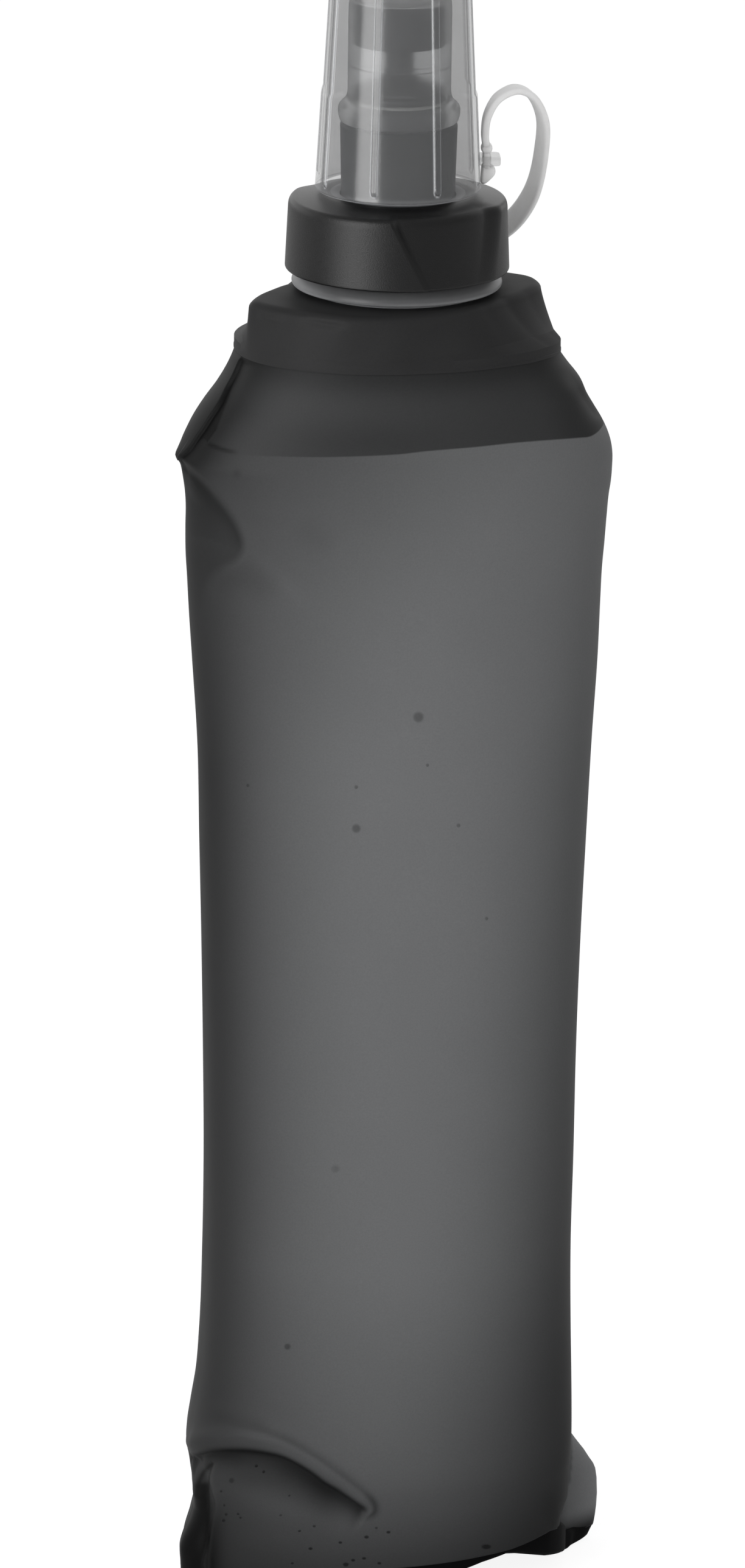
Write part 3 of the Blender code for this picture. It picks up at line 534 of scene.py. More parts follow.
@dataclass(frozen=True)
class ClearMoulding(Finish):
    """Clear cap wall with a grey haze, light wear and the faint waves of a moulding.

    The edges of the ribs and the rim are hazier and carry painted highlights.
    """

    slot: Slot = Slot.CLEAR
    color: Triple = (0.085, 0.087, 0.090)
    roughness: float = 0.14
    specular: float = 1.0
    fine_size: float = 0.0008
    fine_detail: float = 3.0
    broad_size: float = 0.009
    tone: Swing = Swing(0.92, 0.0, 0.14)
    wear: Swing = Swing(-0.02, 0.06)
    relief: Swing = Swing(0.0, 0.0, 1.0)
    bump: Pair = (0.15, 0.0002)
    haze: float = 0.275
    haze_swing: Swing = Swing(-0.02, 0.0, 0.04)
    # Painted highlight along the ribs' edges and the rim
    edge_painted_highlight: float = 6.5
    edge_haze: float = 0.30
    refraction: float = 1.9

    def shade(self, graph: Graph, place: Signal, tone: Signal) -> Signal:
        """Paint highlights along the edges of the ribs and the rim."""
        return tone + graph.attribute("edge") * self.edge_painted_highlight

    def paint(self, graph: Graph, shader: bpy.types.Node) -> tuple[Signal, Signal]:
        """Let light through, less at the edges."""
        fine, waves = super().paint(graph, shader)
        alpha = self.haze_swing.value(fine, waves, self.haze)
        alpha = alpha + graph.attribute("edge") * self.edge_haze
        graph.feed(shader.inputs["Alpha"], alpha)
        shader.inputs["IOR"].default_value = self.refraction
        return fine, waves


# Shapes


def ease(value: "Array | float", low: float, high: float) -> Array:
    """Return a value's smooth way from one bound to the other, from 0 to 1."""
    share = np.clip((np.asarray(value, float) - low) / (high - low), 0.0, 1.0)
    return share * share * (3.0 - 2.0 * share)


def bell(away: Array, spread: "Array | float") -> Array:
    """Return a smooth hump of height 1 that fades with the distance from its middle."""
    return np.exp(-((away / spread) ** 2))


def aside(degrees: Array, middle: "Array | float") -> Array:
    """Return how far angles lie from a middle one, from -180 to 180 degrees."""
    return (degrees - middle + 180.0) % 360.0 - 180.0


def both(value: Sides) -> Pair:
    """Return a pair, whose two values are the same where one number stands for them."""
    return value if isinstance(value, tuple) else (value, value)


@dataclass(frozen=True)
class Table:
    """Values known at some places along a measure, with straight ways between them."""

    places: tuple[float, ...]
    values: tuple[float, ...]

    def at(self, where: Array, period: float | None = None) -> Array:
        """Return the values at these places."""
        return np.interp(where, self.places, self.values, period=period)


def hermite(
    share: "Array | float", start: Array, rise_in: Array, end: Array, rise_out: Array
) -> Array:
    """Return the smooth way from a start to an end with these slopes at the two."""
    square, cube = share**2, share**3
    return (
        start * (2 * cube - 3 * square + 1)
        + rise_in * (cube - 2 * square + share)
        + end * (3 * square - 2 * cube)
        + rise_out * (cube - square)
    )


def curve(route: Sequence[Sequence[float]], per_span: int) -> Array:
    """Return points on a smooth curve through the given ones."""
    points = np.array(route, float)
    last = len(points) - 1
    found = []
    for index in range(last):
        before, after = points[max(index - 1, 0)], points[min(index + 2, last)]
        start, end = points[index], points[index + 1]
        slopes = (end - before) / 2, (after - start) / 2
        for step in range(per_span):
            found.append(hermite(step / per_span, start, slopes[0], end, slopes[1]))
    found.append(points[last])
    return np.array(found)


def rounded(corners: Sequence[Triple], steps: int = 5, closed: bool = True) -> list[Pair]:
    """Return a profile whose corners are rounded off.

    Args:
        corners: radius, height and rounding of each corner in turn.
        steps: spans in each rounding.
        closed: whether the profile ends where it starts.

    Returns:
        The profile's points of radius and height.
    """
    count = len(corners)
    found: list[Pair] = []
    for index, (radius, height, size) in enumerate(corners):
        here = np.array((radius, height))
        if size <= 0 or (not closed and index in (0, count - 1)):
            found.append((radius, height))
            continue
        before = np.array(corners[index - 1][:2]) - here
        after = np.array(corners[(index + 1) % count][:2]) - here
        reach_in = min(size, 0.49 * float(np.linalg.norm(before)))
        reach_out = min(size, 0.49 * float(np.linalg.norm(after)))
        start = here + before / np.linalg.norm(before) * reach_in
        end = here + after / np.linalg.norm(after) * reach_out
        for step in range(steps + 1):
            share = step / steps
            point = start * (1 - share) ** 2 + here * 2 * share * (1 - share) + end * share**2
            found.append((float(point[0]), float(point[1])))
    return found


def even_turns(sides: int) -> Array:
    """Return even angles round the axis in radians."""
    return math.tau * np.arange(sides) / sides


def polar(turns: Array, radii: "Array | float", heights: "Array | float") -> Array:
    """Return places from angles in radians, radii and heights."""
    parts = np.broadcast_arrays(radii * np.cos(turns), radii * np.sin(turns), heights)
    return np.stack(parts, axis=-1)


def spot(degrees: float, radius: float, height: float) -> Triple:
    """Return one place from its angle in degrees, its radius and its height."""
    turn = math.radians(degrees)
    return radius * math.cos(turn), radius * math.sin(turn), height


def directions(degrees: float) -> tuple[Vector, Vector]:
    """Return the directions outwards and around the axis at an angle in degrees."""
    out = Vector(spot(degrees, 1.0, 0.0))
    return out, Vector((-out.y, out.x, 0.0))


def set_height(ring: Array, height: "Array | float") -> Array:
    """Return a ring moved to a height, or to one for each point."""
    moved = ring.copy()
    moved[:, 2] = height
    return moved


def link(name: str, data: bpy.types.ID) -> bpy.types.Object:
    """Add an object to the scene."""
    item = bpy.data.objects.new(name, data)
    bpy.context.scene.collection.objects.link(item)
    return item


def mesh_item(name: str, points: list, faces: list) -> bpy.types.Object:
    """Add an object with a new mesh."""
    mesh = bpy.data.meshes.new(name)
    mesh.from_pydata(points, [], faces)
    return link(name, mesh)


def skin(
    name: str, rings: Array, finish: Finish, closed: bool = True, capped: bool = False,
    sharp: float = 40.0,
) -> bpy.types.Object:
    """Skin a run of rings into one closed mesh.

    Args:
        name: the piece's name.
        rings: places by ring and by point round the ring.
        finish: the piece's finish.
        closed: whether the last ring joins the first one.
        capped: whether the first and the last ring are filled.
        sharp: the angle in degrees above which an edge stays sharp.

    Returns:
        The new object.
    """
    levels, sides = rings.shape[:2]
    grid = np.arange(levels * sides).reshape(levels, sides)
    lower = grid if closed else grid[:-1]
    upper = np.roll(grid, -1, axis=0) if closed else grid[1:]
    quads = np.stack(
        [lower, np.roll(lower, -1, axis=1), np.roll(upper, -1, axis=1), upper], axis=-1
    )
    faces = quads.reshape(-1, 4).tolist()
    if capped:
        faces += [grid[0][::-1].tolist(), grid[-1].tolist()]
    item = mesh_item(name, rings.reshape(-1, 3).tolist(), faces)
    finish_mesh(item, finish, sharp)
    return item


def finish_mesh(item: bpy.types.Object, finish: Finish, sharp: float = 40.0) -> None:
    """Merge doubled points, turn the faces outwards, smooth the mesh and give it its finish."""
    build = bmesh.new()
    build.from_mesh(item.data)
    bmesh.ops.remove_doubles(build, verts=build.verts, dist=1e-7)
    bmesh.ops.recalc_face_normals(build, faces=build.faces)
    build.to_mesh(item.data)
    build.free()
    item.data.shade_smooth()
    item.data.set_sharp_from_angle(angle=math.radians(sharp))
    item.data.materials.clear()
    item.data.materials.append(finish.material())


def turned(
    name: str, profile: Sequence[Pair], finish: Finish, sides: int = 144, closed: bool = True,
    sharp: float = 40.0,
) -> bpy.types.Object:
    """Turn a profile of radius and height about the bottle's axis."""
    rings = np.array([polar(even_turns(sides), radius, height) for radius, height in profile])
    return skin(name, rings, finish, closed=closed, sharp=sharp)


def store_rest(item: bpy.types.Object) -> None:
    """Keep each point's place at rest on the mesh, for the finish to read."""
    places = np.array([point.co for point in item.data.vertices], np.float32)
    attribute = item.data.attributes.new("rest", "FLOAT_VECTOR", "POINT")
    attribute.data.foreach_set("vector", places.ravel())


def store_value(item: bpy.types.Object, name: str, values: Array) -> None:
    """Keep one value per point on the mesh."""
    attribute = item.data.attributes.new(name, "FLOAT", "POINT")
    attribute.data.foreach_set("value", values.astype(np.float32).ravel())


def beside(points: Array, route: Array) -> tuple[Array, Array]:
    """Measure points against a route in the frame.

    Args:
        points: pixels, one row each.
        route: the route's pixels, one row each.

    Returns:
        Each point's distance, above 0 under a route that runs rightwards or left of one
        that runs downwards, and its share of the way along.
    """
    best = np.full(len(points), np.inf)
    signed = np.zeros(len(points))
    share = np.zeros(len(points))
    spans = len(route) - 1
    for index in range(spans):
        start, step = route[index], route[index + 1] - route[index]
        along = np.clip(((points - start) @ step) / (step @ step), 0.0, 1.0)
        away = points - start - along[:, None] * step
        length = np.hypot(away[:, 0], away[:, 1])
        side = np.sign(step[0] * away[:, 1] - step[1] * away[:, 0])
        closer = length < best
        best = np.where(closer, length, best)
        signed = np.where(closer, side * length, signed)
        share = np.where(closer, (index + along) / spans, share)
    return signed, share


@dataclass(frozen=True)
class Crease:
    """A fold in the film, along a route over the frame.

    Heights are metres out of the film and widths are pixels, for the side below a route
    that runs rightwards (or left of one that runs downwards) and for the side above it. One
    number stands for both sides. Shades scale the tone by 1 + shade at the route: a shade
    below 0 is painted shade, and one above 0 a painted highlight.
    """

    route: tuple[Pair, ...]
    rise: Sides = 0.0
    width: Sides = 10.0
    shade: Sides = 0.0
    shade_width: Sides = 10.0
    edge: float = 3.0
    fade: Sides = 0.15

    def profile(self, pixels: Array, heights: Sides, widths: Sides) -> Array:
        """Return the fold's value at each pixel."""
        (below, above), widths, fade = both(heights), both(widths), both(self.fade)
        found = np.zeros(len(pixels))
        route = curve(self.route, 6)
        reach = 3.0 * max(widths)
        least, most = route.min(axis=0) - reach, route.max(axis=0) + reach
        near = np.all((pixels > least) & (pixels < most), axis=1)
        if not (below or above) or not near.any():
            return found
        signed, share = beside(pixels[near], route)
        mix = ease(signed, -self.edge, self.edge)
        ends = ease(share, -0.001, fade[0]) * (1.0 - ease(share, 1.0 - fade[1], 1.001))
        under = below * bell(signed, widths[0])
        over = above * bell(signed, widths[1])
        found[near] = (under * mix + over * (1.0 - mix)) * ends
        return found

    def lift(self, pixels: Array) -> Array:
        """Return how far the film stands out, in metres."""
        return self.profile(pixels, self.rise, self.width)

    def tone(self, pixels: Array) -> Array:
        """Return the factor of painted shade and highlight on the film's tone."""
        return 1.0 + self.profile(pixels, self.shade, self.shade_width)


@dataclass(frozen=True)
class Bulge:
    """A smooth swelling round the body: its reach in metres, and its angle and spread."""

    reach: float
    turn: float
    spread: float

    def at(self, turns: Array) -> Array:
        """Return how far it stands out at angles in radians."""
        return self.reach * bell(aside(np.degrees(turns), self.turn), self.spread)


# Body: film, base cup and shoulder


@dataclass(frozen=True)
class Station:
    """The film's oval at a height: its reach to the left and right, its depth and squareness."""

    height: float
    left: float
    right: float
    depth: float
    squareness: float


STATIONS = tuple(
    Station(*row)
    for row in (
        (0.0040, 0.0458, 0.0436, 0.0276, 2.60), (0.0080, 0.0458, 0.0434, 0.0276, 2.60),
        (0.0137, 0.0442, 0.0434, 0.0282, 2.60), (0.0209, 0.0430, 0.0436, 0.0287, 2.60),
        (0.0250, 0.0437, 0.0438, 0.0289, 2.59), (0.0276, 0.0445, 0.0440, 0.0291, 2.58),
        (0.0311, 0.0452, 0.0441, 0.0292, 2.57), (0.0347, 0.0451, 0.0441, 0.0293, 2.56),
        (0.0405, 0.0443, 0.0440, 0.0295, 2.54), (0.0480, 0.0431, 0.0438, 0.0297, 2.52),
        (0.0577, 0.0424, 0.0435, 0.0298, 2.50), (0.0800, 0.0418, 0.0431, 0.0300, 2.45),
        (0.1010, 0.0417, 0.0434, 0.0300, 2.40), (0.1270, 0.0421, 0.0436, 0.0300, 2.35),
        (0.1530, 0.0427, 0.0442, 0.0300, 2.30), (0.1770, 0.0434, 0.0451, 0.0298, 2.26),
        (0.2006, 0.0441, 0.0461, 0.0296, 2.20), (0.2200, 0.0455, 0.0472, 0.0293, 2.13),
        (0.2320, 0.0464, 0.0476, 0.0291, 2.08), (0.2400, 0.0469, 0.0479, 0.0290, 2.05),
        (0.2460, 0.0473, 0.0484, 0.0288, 2.02), (0.2515, 0.0474, 0.0488, 0.0287, 1.99),
        (0.2572, 0.0474, 0.0493, 0.0285, 1.96), (0.2600, 0.0476, 0.0497, 0.0285, 1.96),
        (0.2628, 0.0480, 0.0499, 0.0284, 1.95), (0.2665, 0.0487, 0.0499, 0.0284, 1.95),
        (0.2689, 0.0493, 0.0495, 0.0284, 1.95), (0.2713, 0.0486, 0.0487, 0.0284, 1.96),
        (0.2742, 0.0473, 0.0473, 0.0284, 1.97), (0.2770, 0.0458, 0.0456, 0.0284, 1.98),
        (0.2800, 0.0437, 0.0438, 0.0285, 2.02), (0.2840, 0.0404, 0.0419, 0.0286, 2.10),
        (0.2880, 0.0378, 0.0388, 0.0287, 2.17), (0.2905, 0.0366, 0.0371, 0.0288, 2.20),
        (0.2916, 0.0362, 0.0366, 0.0288, 2.20), (0.2960, 0.0355, 0.0360, 0.0288, 2.20),
    )
)

# Uneven outlines: millimetres of height or reach, by degrees round the body

SEAM_FOOT = Table(
    (0, 7, 18, 40, 120, 170, 183, 200, 230, 270, 280, 290, 300, 308, 315, 322, 335, 347, 354, 360),
    (4.4, 3.8, 4.6, 7.8, 7.8, 5.0, 2.4, 3.6, 7.2, 9.9, 10.4, 11.0, 11.5, 12.2, 12.8, 13.2,
     12.2, 9.4, 6.2, 4.4),
)
BASE_FOOT = Table(
    (0, 10, 60, 170, 190, 210, 240, 270, 280, 290, 300, 308, 315, 322, 334, 342, 350, 360),
    (0.3, 0.0, 0.0, 0.0, 0.0, 1.0, 3.0, 5.0, 6.6, 8.7, 10.0, 9.1, 7.8, 6.6, 5.1, 4.0, 2.4, 0.3),
)
SEAM_RIM = Table(
    (0, 20, 60, 120, 160, 180, 200, 225, 270, 300, 325, 345, 360),
    (290.7, 291.0, 291.5, 291.6, 291.8, 292.1, 292.4, 292.7, 292.8, 292.8, 292.3, 291.3, 290.7),
)
PLATE_REACH = Table(
    (4, 12, 21, 45, 90, 140, 161, 174, 184, 193, 202, 212, 224, 236, 252, 270, 290, 310, 328,
     345, 356),
    (33.6, 33.8, 31.0, 26.4, 24.8, 24.8, 25.2, 29.0, 33.0, 36.4, 35.0, 33.2, 32.0, 31.0, 29.2,
     27.4, 25.8, 25.4, 26.4, 29.6, 32.6),
)
SLOPE_HOLLOW = Table((0, 90, 175, 210, 240, 300, 360), (1.15, 1.3, 0.92, 1.0, 1.25, 1.15, 1.15))
RING_PACE = Table(
    (0, 20, 40, 140, 172, 180, 265, 320, 352, 360),
    (0.45, 0.60, 1.5, 1.5, 0.6, 0.28, 0.34, 0.50, 0.45, 0.45),
)
LEVEL_PACE = Table((0.0, 0.14, 0.18, 0.80, 0.84, 1.0), (0.35, 0.38, 1.2, 1.2, 0.45, 0.40))

# Swellings and dents of the body, and their strength by millimetres of height

PINCH = Bulge(0.0006, 180.0, 7.0)
RIGHT_BULGE = Bulge(0.00105, 8.0, 7.5)
RIGHT_DENT = Bulge(-0.00046, -4.5, 4.5)
RIGHT_STRENGTH = Table(
    (0.0, 0.6, 1.5, 2.7, 4.0, 6.0, 8.0, 11.0, 14.8, 17.2, 18.6, 20.2, 22.4, 25.0, 27.0, 30.5),
    (6.6, 7.3, 8.2, 8.8, 9.2, 9.6, 9.9, 10.1, 9.9, 9.5, 8.9, 7.8, 6.4, 4.4, 2.9, 0.0),
)
LEFT_BULGE = Bulge(0.0034, 183.0, 6.0)
LEFT_DENT = Bulge(-0.0012, 194.0, 3.5)
LEFT_STRENGTH = Table(
    (0.0, 8.0, 11.0, 15.0, 17.5, 21.0, 23.6, 26.5, 30.0),
    (0.5, 0.62, 0.6, 0.42, 0.38, 0.56, 0.48, 0.28, 0.0),
)
NOTCH = Bulge(-0.001, -14.0, 9.0)
NOTCH_STRENGTH = Table(
    (6.0, 8.0, 9.5, 11.0, 12.8, 14.2, 15.4, 17.5), (0.0, 1.4, 2.2, 2.7, 2.8, 2.4, 0.8, 0.0)
)


@dataclass
class Pouch:
    """The soft film tube with its moulded base and shoulder."""

    view: Viewpoint
    seam_low: float = 0.0080
    seam_high: float = 0.2916
    bend: float = 0.2689
    water_line: float = 0.2735
    pixels_per_metre: float = 6930.0
    sides: int = 720
    wall: float = 0.0006
    land_out: float = 0.0003
    stations: tuple[Station, ...] = STATIONS
    creases: tuple[Crease, ...] = ()
    wrinkles: tuple[Crease, ...] = ()
    bubbles: tuple[tuple[float, float, float, float, float], ...] = ()
    dot_rings: tuple[Pair, ...] = ((0.0, 0.28), (0.55, 0.28), (0.8, 0.40), (1.0, 0.70), (1.2, 1.0))
    dot_steps: int = 14

    def station_at(self, heights: Array) -> list[Array]:
        """Return the oval's left, right, depth and squareness at each height."""
        known = np.array([station.height for station in self.stations])
        values = np.array([[s.left, s.right, s.depth, s.squareness] for s in self.stations])
        slopes = np.gradient(values, known, axis=0)
        index = np.clip(np.searchsorted(known, heights) - 1, 0, len(known) - 2)
        span = known[index + 1] - known[index]
        share = np.clip((heights - known[index]) / span, 0.0, 1.0)
        found = []
        for part in range(4):
            start, end = values[index, part], values[index + 1, part]
            rise_in, rise_out = slopes[index, part] * span, slopes[index + 1, part] * span
            found.append(hermite(share, start, rise_in, end, rise_out))
        return found

    def ovals(self, heights: Array, turns: Array, shrink: float = 0.0) -> Array:
        """Return the film's rings at these heights, drawn in by a distance."""
        z = heights if heights.ndim == 2 else heights[:, None]
        left, right, depth, square = self.station_at(z)
        power = 2.0 / square
        cosine, sine = np.cos(turns)[None, :], np.sin(turns)[None, :]
        half = ease(cosine, -0.08, 0.08)
        width = left * (1.0 - half) + right * half - shrink
        x = width * np.sign(cosine) * np.abs(cosine) ** power
        y = (depth - shrink) * np.sign(sine) * np.abs(sine) ** power
        return np.stack([x, y, np.broadcast_to(z, x.shape)], axis=-1)

    def swell(self, turns: Array, heights: Array, folds: float = 1.0) -> Array:
        """Return how far the pinched corner and the two base ears stand out.

        Args:
            turns: angles round the body in radians, one for each point of a ring.
            heights: heights, one for each ring or for each point.
            folds: share of the film's own folds beside the ears, 0 for the stiff cup.
        """
        z = heights if heights.ndim == 2 else heights[:, None]
        tall = z * 1000.0
        dent = RIGHT_DENT.at(turns) * (0.25 + 0.75 * folds)
        right = RIGHT_STRENGTH.at(tall) * (RIGHT_BULGE.at(turns) + dent)
        left = LEFT_STRENGTH.at(tall) * (LEFT_BULGE.at(turns) + LEFT_DENT.at(turns))
        notch = NOTCH_STRENGTH.at(tall) * NOTCH.at(turns) * folds
        return PINCH.at(turns) * bell(z - self.bend, 0.0016) + right + left + notch

    def seam_foot(self, turns: Array) -> Array:
        """Return the lower weld's height: it lifts at the front right and drops on the ears."""
        return 0.001 * SEAM_FOOT.at(np.degrees(turns) % 360.0)

    def foot(self, turns: Array) -> Array:
        """Return the height of the base's lower edge: it stands on its ears and its back."""
        return 0.001 * BASE_FOOT.at(np.degrees(turns) % 360.0)

    def rim(self, turns: Array) -> Array:
        """Return the height of the upper weld: level in front and lower at the right."""
        return 0.001 * SEAM_RIM.at(np.degrees(turns) % 360.0)

    def grid_turns(self) -> Array:
        """Return the film's angles, closest where the front folds are."""
        steps = 7200
        fine = math.tau * np.arange(steps + 1) / steps
        ring = self.ovals(np.array([0.10]), fine)[0]
        step = np.hypot(np.diff(ring[:, 0]), np.diff(ring[:, 1]))
        pace = 0.001 * RING_PACE.at(np.degrees(fine[:-1]))
        count = np.concatenate([[0.0], np.cumsum(step / pace)])
        return np.interp(np.arange(int(count[-1])) + 0.5, count, fine)

    def grid_levels(self) -> Array:
        """Return the film's levels as shares, closest at its two ends."""
        steps, length = 4000, 288.0
        fine = np.linspace(0.0, 1.0, steps + 1)
        count = np.concatenate([[0.0], np.cumsum(length / steps / LEVEL_PACE.at(fine)[1:])])
        count *= int(count[-1]) / count[-1]
        return np.interp(np.arange(int(round(count[-1])) + 1), count, fine)

    def level_out(self, rings: Array) -> Array:
        """Return each point's level direction away from the axis."""
        out = rings * np.array((1.0, 1.0, 0.0))
        return out / np.linalg.norm(out, axis=-1, keepdims=True)

    def outward(self, rings: Array) -> Array:
        """Return each point's outward direction."""
        around = np.roll(rings, -1, axis=1) - np.roll(rings, 1, axis=1)
        upward = np.gradient(rings, axis=0)
        normals = np.cross(around, upward)
        return normals / np.linalg.norm(normals, axis=-1, keepdims=True)

    def film(self) -> list[bpy.types.Object]:
        """Build the film as a closed thin shell with its folds and bubbles, and shade it."""
        turns = self.grid_turns()
        low = self.seam_foot(turns)[None, :] - 0.0004
        high = self.rim(turns)[None, :] + 0.0020
        heights = low + (high - low) * self.grid_levels()[:, None]
        shape = heights.shape
        rings = self.ovals(heights, turns)
        out = self.level_out(rings)
        rings = rings + out * self.swell(turns, heights)[..., None]
        normals = self.outward(rings)
        pixels = self.view.pixels(rings).reshape(-1, 2)
        facing = self.view.facing(rings, normals).reshape(-1)
        inside = ease(heights - low, 0.0002, 0.0016)
        inside = inside * (1.0 - ease(heights - high, -0.0034, -0.0020))
        lift = sum(crease.lift(pixels) for crease in self.creases)
        lift = (lift * facing * inside.reshape(-1)).reshape(shape)
        outer = rings + normals * lift[..., None]
        shell = np.concatenate([outer, (outer - out * self.wall)[::-1]])
        item = skin("body_film_skin", shell, SMOKE_FILM, sharp=180.0)
        values = {
            name: value.reshape(shape)
            for name, value in self.tones(rings, pixels, facing).items()
        }
        for name, grid in values.items():
            store_value(item, name, np.concatenate([grid, grid[::-1]]))
        pixels, facing = pixels.reshape(*shape, 2), facing.reshape(shape)
        dots = self.bubble_mesh(outer, normals, pixels, facing, values)
        for piece in (item, dots):
            store_rest(piece)
            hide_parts("body_film")
        return [item, dots]

    def bubble_mesh(
        self, outer: Array, normals: Array, pixels: Array, facing: Array, values: dict[str, Array]
    ) -> bpy.types.Object:
        """Build the bubbles and specks under the film: small discs that fade into its tone."""
        points, faces = [], []
        tones: dict[str, list[float]] = {name: [] for name in values}
        last = self.dot_rings[-1][0]
        for x, y, wide, tall, depth in self.bubbles:
            hidden = (facing < 0.5) * 1e6
            gap = np.hypot(pixels[..., 0] - x, pixels[..., 1] - y) + hidden
            row, column = np.unravel_index(np.argmin(gap), gap.shape)
            row, side = min(row, len(outer) - 2), (column + 1) % outer.shape[1]
            here, drawn = outer[row, column], pixels[row, column]
            up, along = outer[row + 1, column] - here, outer[row, side] - here
            turn = np.array([pixels[row + 1, column] - drawn, pixels[row, side] - drawn])
            back = np.linalg.inv(turn.T)
            faces += self.disc(len(points))
            for share, tone in self.dot_rings:
                for step in range(self.dot_steps if share else 1):
                    angle = math.tau * step / self.dot_steps
                    reach = np.array((wide * math.cos(angle), tall * math.sin(angle))) * share
                    ways = back @ (np.array((x, y)) - drawn + reach)
                    rise = 0.00010 * (1.0 - (share / last) ** 2) + 0.00002
                    spread = here + up * ways[0] + along * ways[1]
                    points.append(tuple(spread + normals[row, column] * rise))
                    for name, grid in values.items():
                        shade = 1.0 if name == "above" else 1.0 - (1.0 - tone) * depth
                        tones[name].append(float(grid[row, column]) * shade)
        item = mesh_item("film_bubbles", points, faces)
        finish_mesh(item, SMOKE_FILM, 180.0)
        for name, found in tones.items():
            store_value(item, name, np.array(found))
        return item

    def disc(self, middle: int) -> list[tuple[int, ...]]:
        """Return the faces of a disc whose middle point has this number."""
        steps, faces = self.dot_steps, []
        for ring in range(len(self.dot_rings) - 1):
            first = middle + 1 + ring * steps
            for step in range(steps):
                here, after = first + step, first + (step + 1) % steps
                if ring:
                    faces.append((here - steps, here, after, after - steps))
                else:
                    faces.append((middle, here, after))
        return faces

    def tones(self, rings: Array, pixels: Array, facing: Array) -> dict[str, Array]:
        """Return the film's tones with water and with air behind, and its way over the water.

        Both tones carry painted light and shade, and the creases' painted shade and highlights.
        """
        flat = rings.reshape(-1, 3)
        z = flat[:, 2]
        left, right = self.station_at(z)[:2]
        across = np.clip(flat[:, 0] / np.where(flat[:, 0] > 0, right, left), -1.0, 1.0)
        degrees = np.degrees(np.arctan2(flat[:, 1], flat[:, 0]))
        # The creases' shades: painted shade below 0, painted highlights above 0
        shade = np.ones(len(flat))
        for crease in self.creases:
            shade *= 1.0 + (crease.tone(pixels) - 1.0) * np.minimum(facing * 3.0, 1.0)
        line = curve(WATER_LINE, 6)
        drawn = np.interp(pixels[:, 0], line[:, 0], line[:, 1]) - pixels[:, 1]
        above = drawn / self.pixels_per_metre * facing + (z - self.water_line) * (1.0 - facing)
        wet = self.wet_painted_tone(across, degrees, z)
        dry = self.dry_painted_tone(across, degrees % 360.0, z)
        return {"wet_painted_tone": wet * shade, "dry_painted_tone": dry * shade, "above": above}

    def wet_painted_tone(self, across: Array, degrees: Array, z: Array) -> Array:
        """Return the tone over water, with painted light and shade.

        A lit middle falls off in painted shade to the sides, the tone is darker towards the foot,
        and the right ear has painted light and the left ear's side painted shade.

        Args:
            across: share of the way from the middle to the left or right end, from -1 to 1.
            degrees: angles round the body, from -180 to 180.
            z: heights.
        """
        # Painted light: a lit middle whose tone falls off in painted shade towards both sides
        middle, rightwards = FILM_LIT_MIDDLE.at(z), across > FILM_LIT_MIDDLE.at(z)
        whole = np.where(rightwards, 1.0 - middle, 1.0 + middle)
        share = np.clip(np.abs(across - middle) / whole, 0.0, 1.0)
        power = np.where(rightwards, FILM_RIGHT_SHADE_POWER.at(z), FILM_LEFT_SHADE_POWER.at(z))
        drop = np.where(rightwards, FILM_RIGHT_SHADE_DROP.at(z), FILM_LEFT_SHADE_DROP.at(z))
        # Darker towards the foot
        foot = ease(z, 0.004, 0.036) * 0.62 + 0.38
        wet = FILM_WET_AND_LIT_PEAK.at(z) * (1.0 - drop * share**power) * foot
        # Painted light on the right ear
        lit_ear = bell(degrees - 8.0, 11.0) * ease(z, 0.0030, 0.0095) * ease(-z, -0.034, -0.027)
        wet = wet + (FILM_EAR_LIGHT - wet) * lit_ear
        # Painted shade on the left ear's side face
        around = degrees % 360.0
        edge, behind = LEFT_EAR.at(z * 1000.0), LEFT_EAR_BACK.at(z * 1000.0)
        side = (1.0 - ease(around, edge - 1.0, edge + 0.2)) * ease(around, behind, behind + 4.0)
        return wet * (1.0 - 0.76 * side * (1.0 - ease(z, 0.0248, 0.0266)))

    def dry_painted_tone(self, across: Array, around: Array, z: Array) -> Array:
        """Return the tone over air, with painted light and shade: a lit patch, a shaded dip,
        darker sides, the painted shadow under the weld and the painted shade of the left facet.

        Args:
            across: share of the way from the middle to the left or right end, from -1 to 1.
            around: angles round the body, from 0 to 360.
            z: heights.
        """
        # A painted lit patch, a painted shaded dip and painted shade towards the right side
        lit_patch = bell(across + 0.45, 0.34) * bell(z - 0.2865, 0.006)
        shaded_dip = bell(across + 0.25, 0.35) * bell(z - 0.2775, 0.004)
        sides = 0.10 * across + 0.50 * ease(across, 0.62, 0.98)
        dry = FILM_DRY * (1.0 - sides + 0.12 * lit_patch - 0.14 * shaded_dip)
        # Painted shadow under the shoulder's weld
        dry = dry * (1.0 - 0.40 * bell(z - 0.2925, 0.0045))
        # Painted shade on the left facet
        fold = LEFT_FOLD.at(z * 1000.0)
        shaded_facet = (1.0 - ease(around, fold - 0.6, fold + 0.3)) * ease(around, 150.0, 168.0)
        return dry * (1.0 - 0.80 * shaded_facet * ease(z, 0.2672, 0.2695))

    def base(self) -> bpy.types.Object:
        """Build the base cup: its lifted foot and the upright land that the film is welded to."""
        turns = even_turns(self.sides)
        seam, foot = self.seam_foot(turns), self.foot(turns)
        ring = self.ovals(seam[None, :], turns)
        out = self.level_out(ring)[0]
        swollen = self.swell(turns, seam[None, :], 0.0)[0]
        ring = ring[0] + out * swollen[:, None]

        def level(reach: float, heights: Array) -> Array:
            """Return the ring moved out by a reach and to these heights."""
            spread = self.swell(turns, heights[None, :], 0.0)[0] - swollen
            return set_height(ring + out * (reach + spread)[:, None], heights)

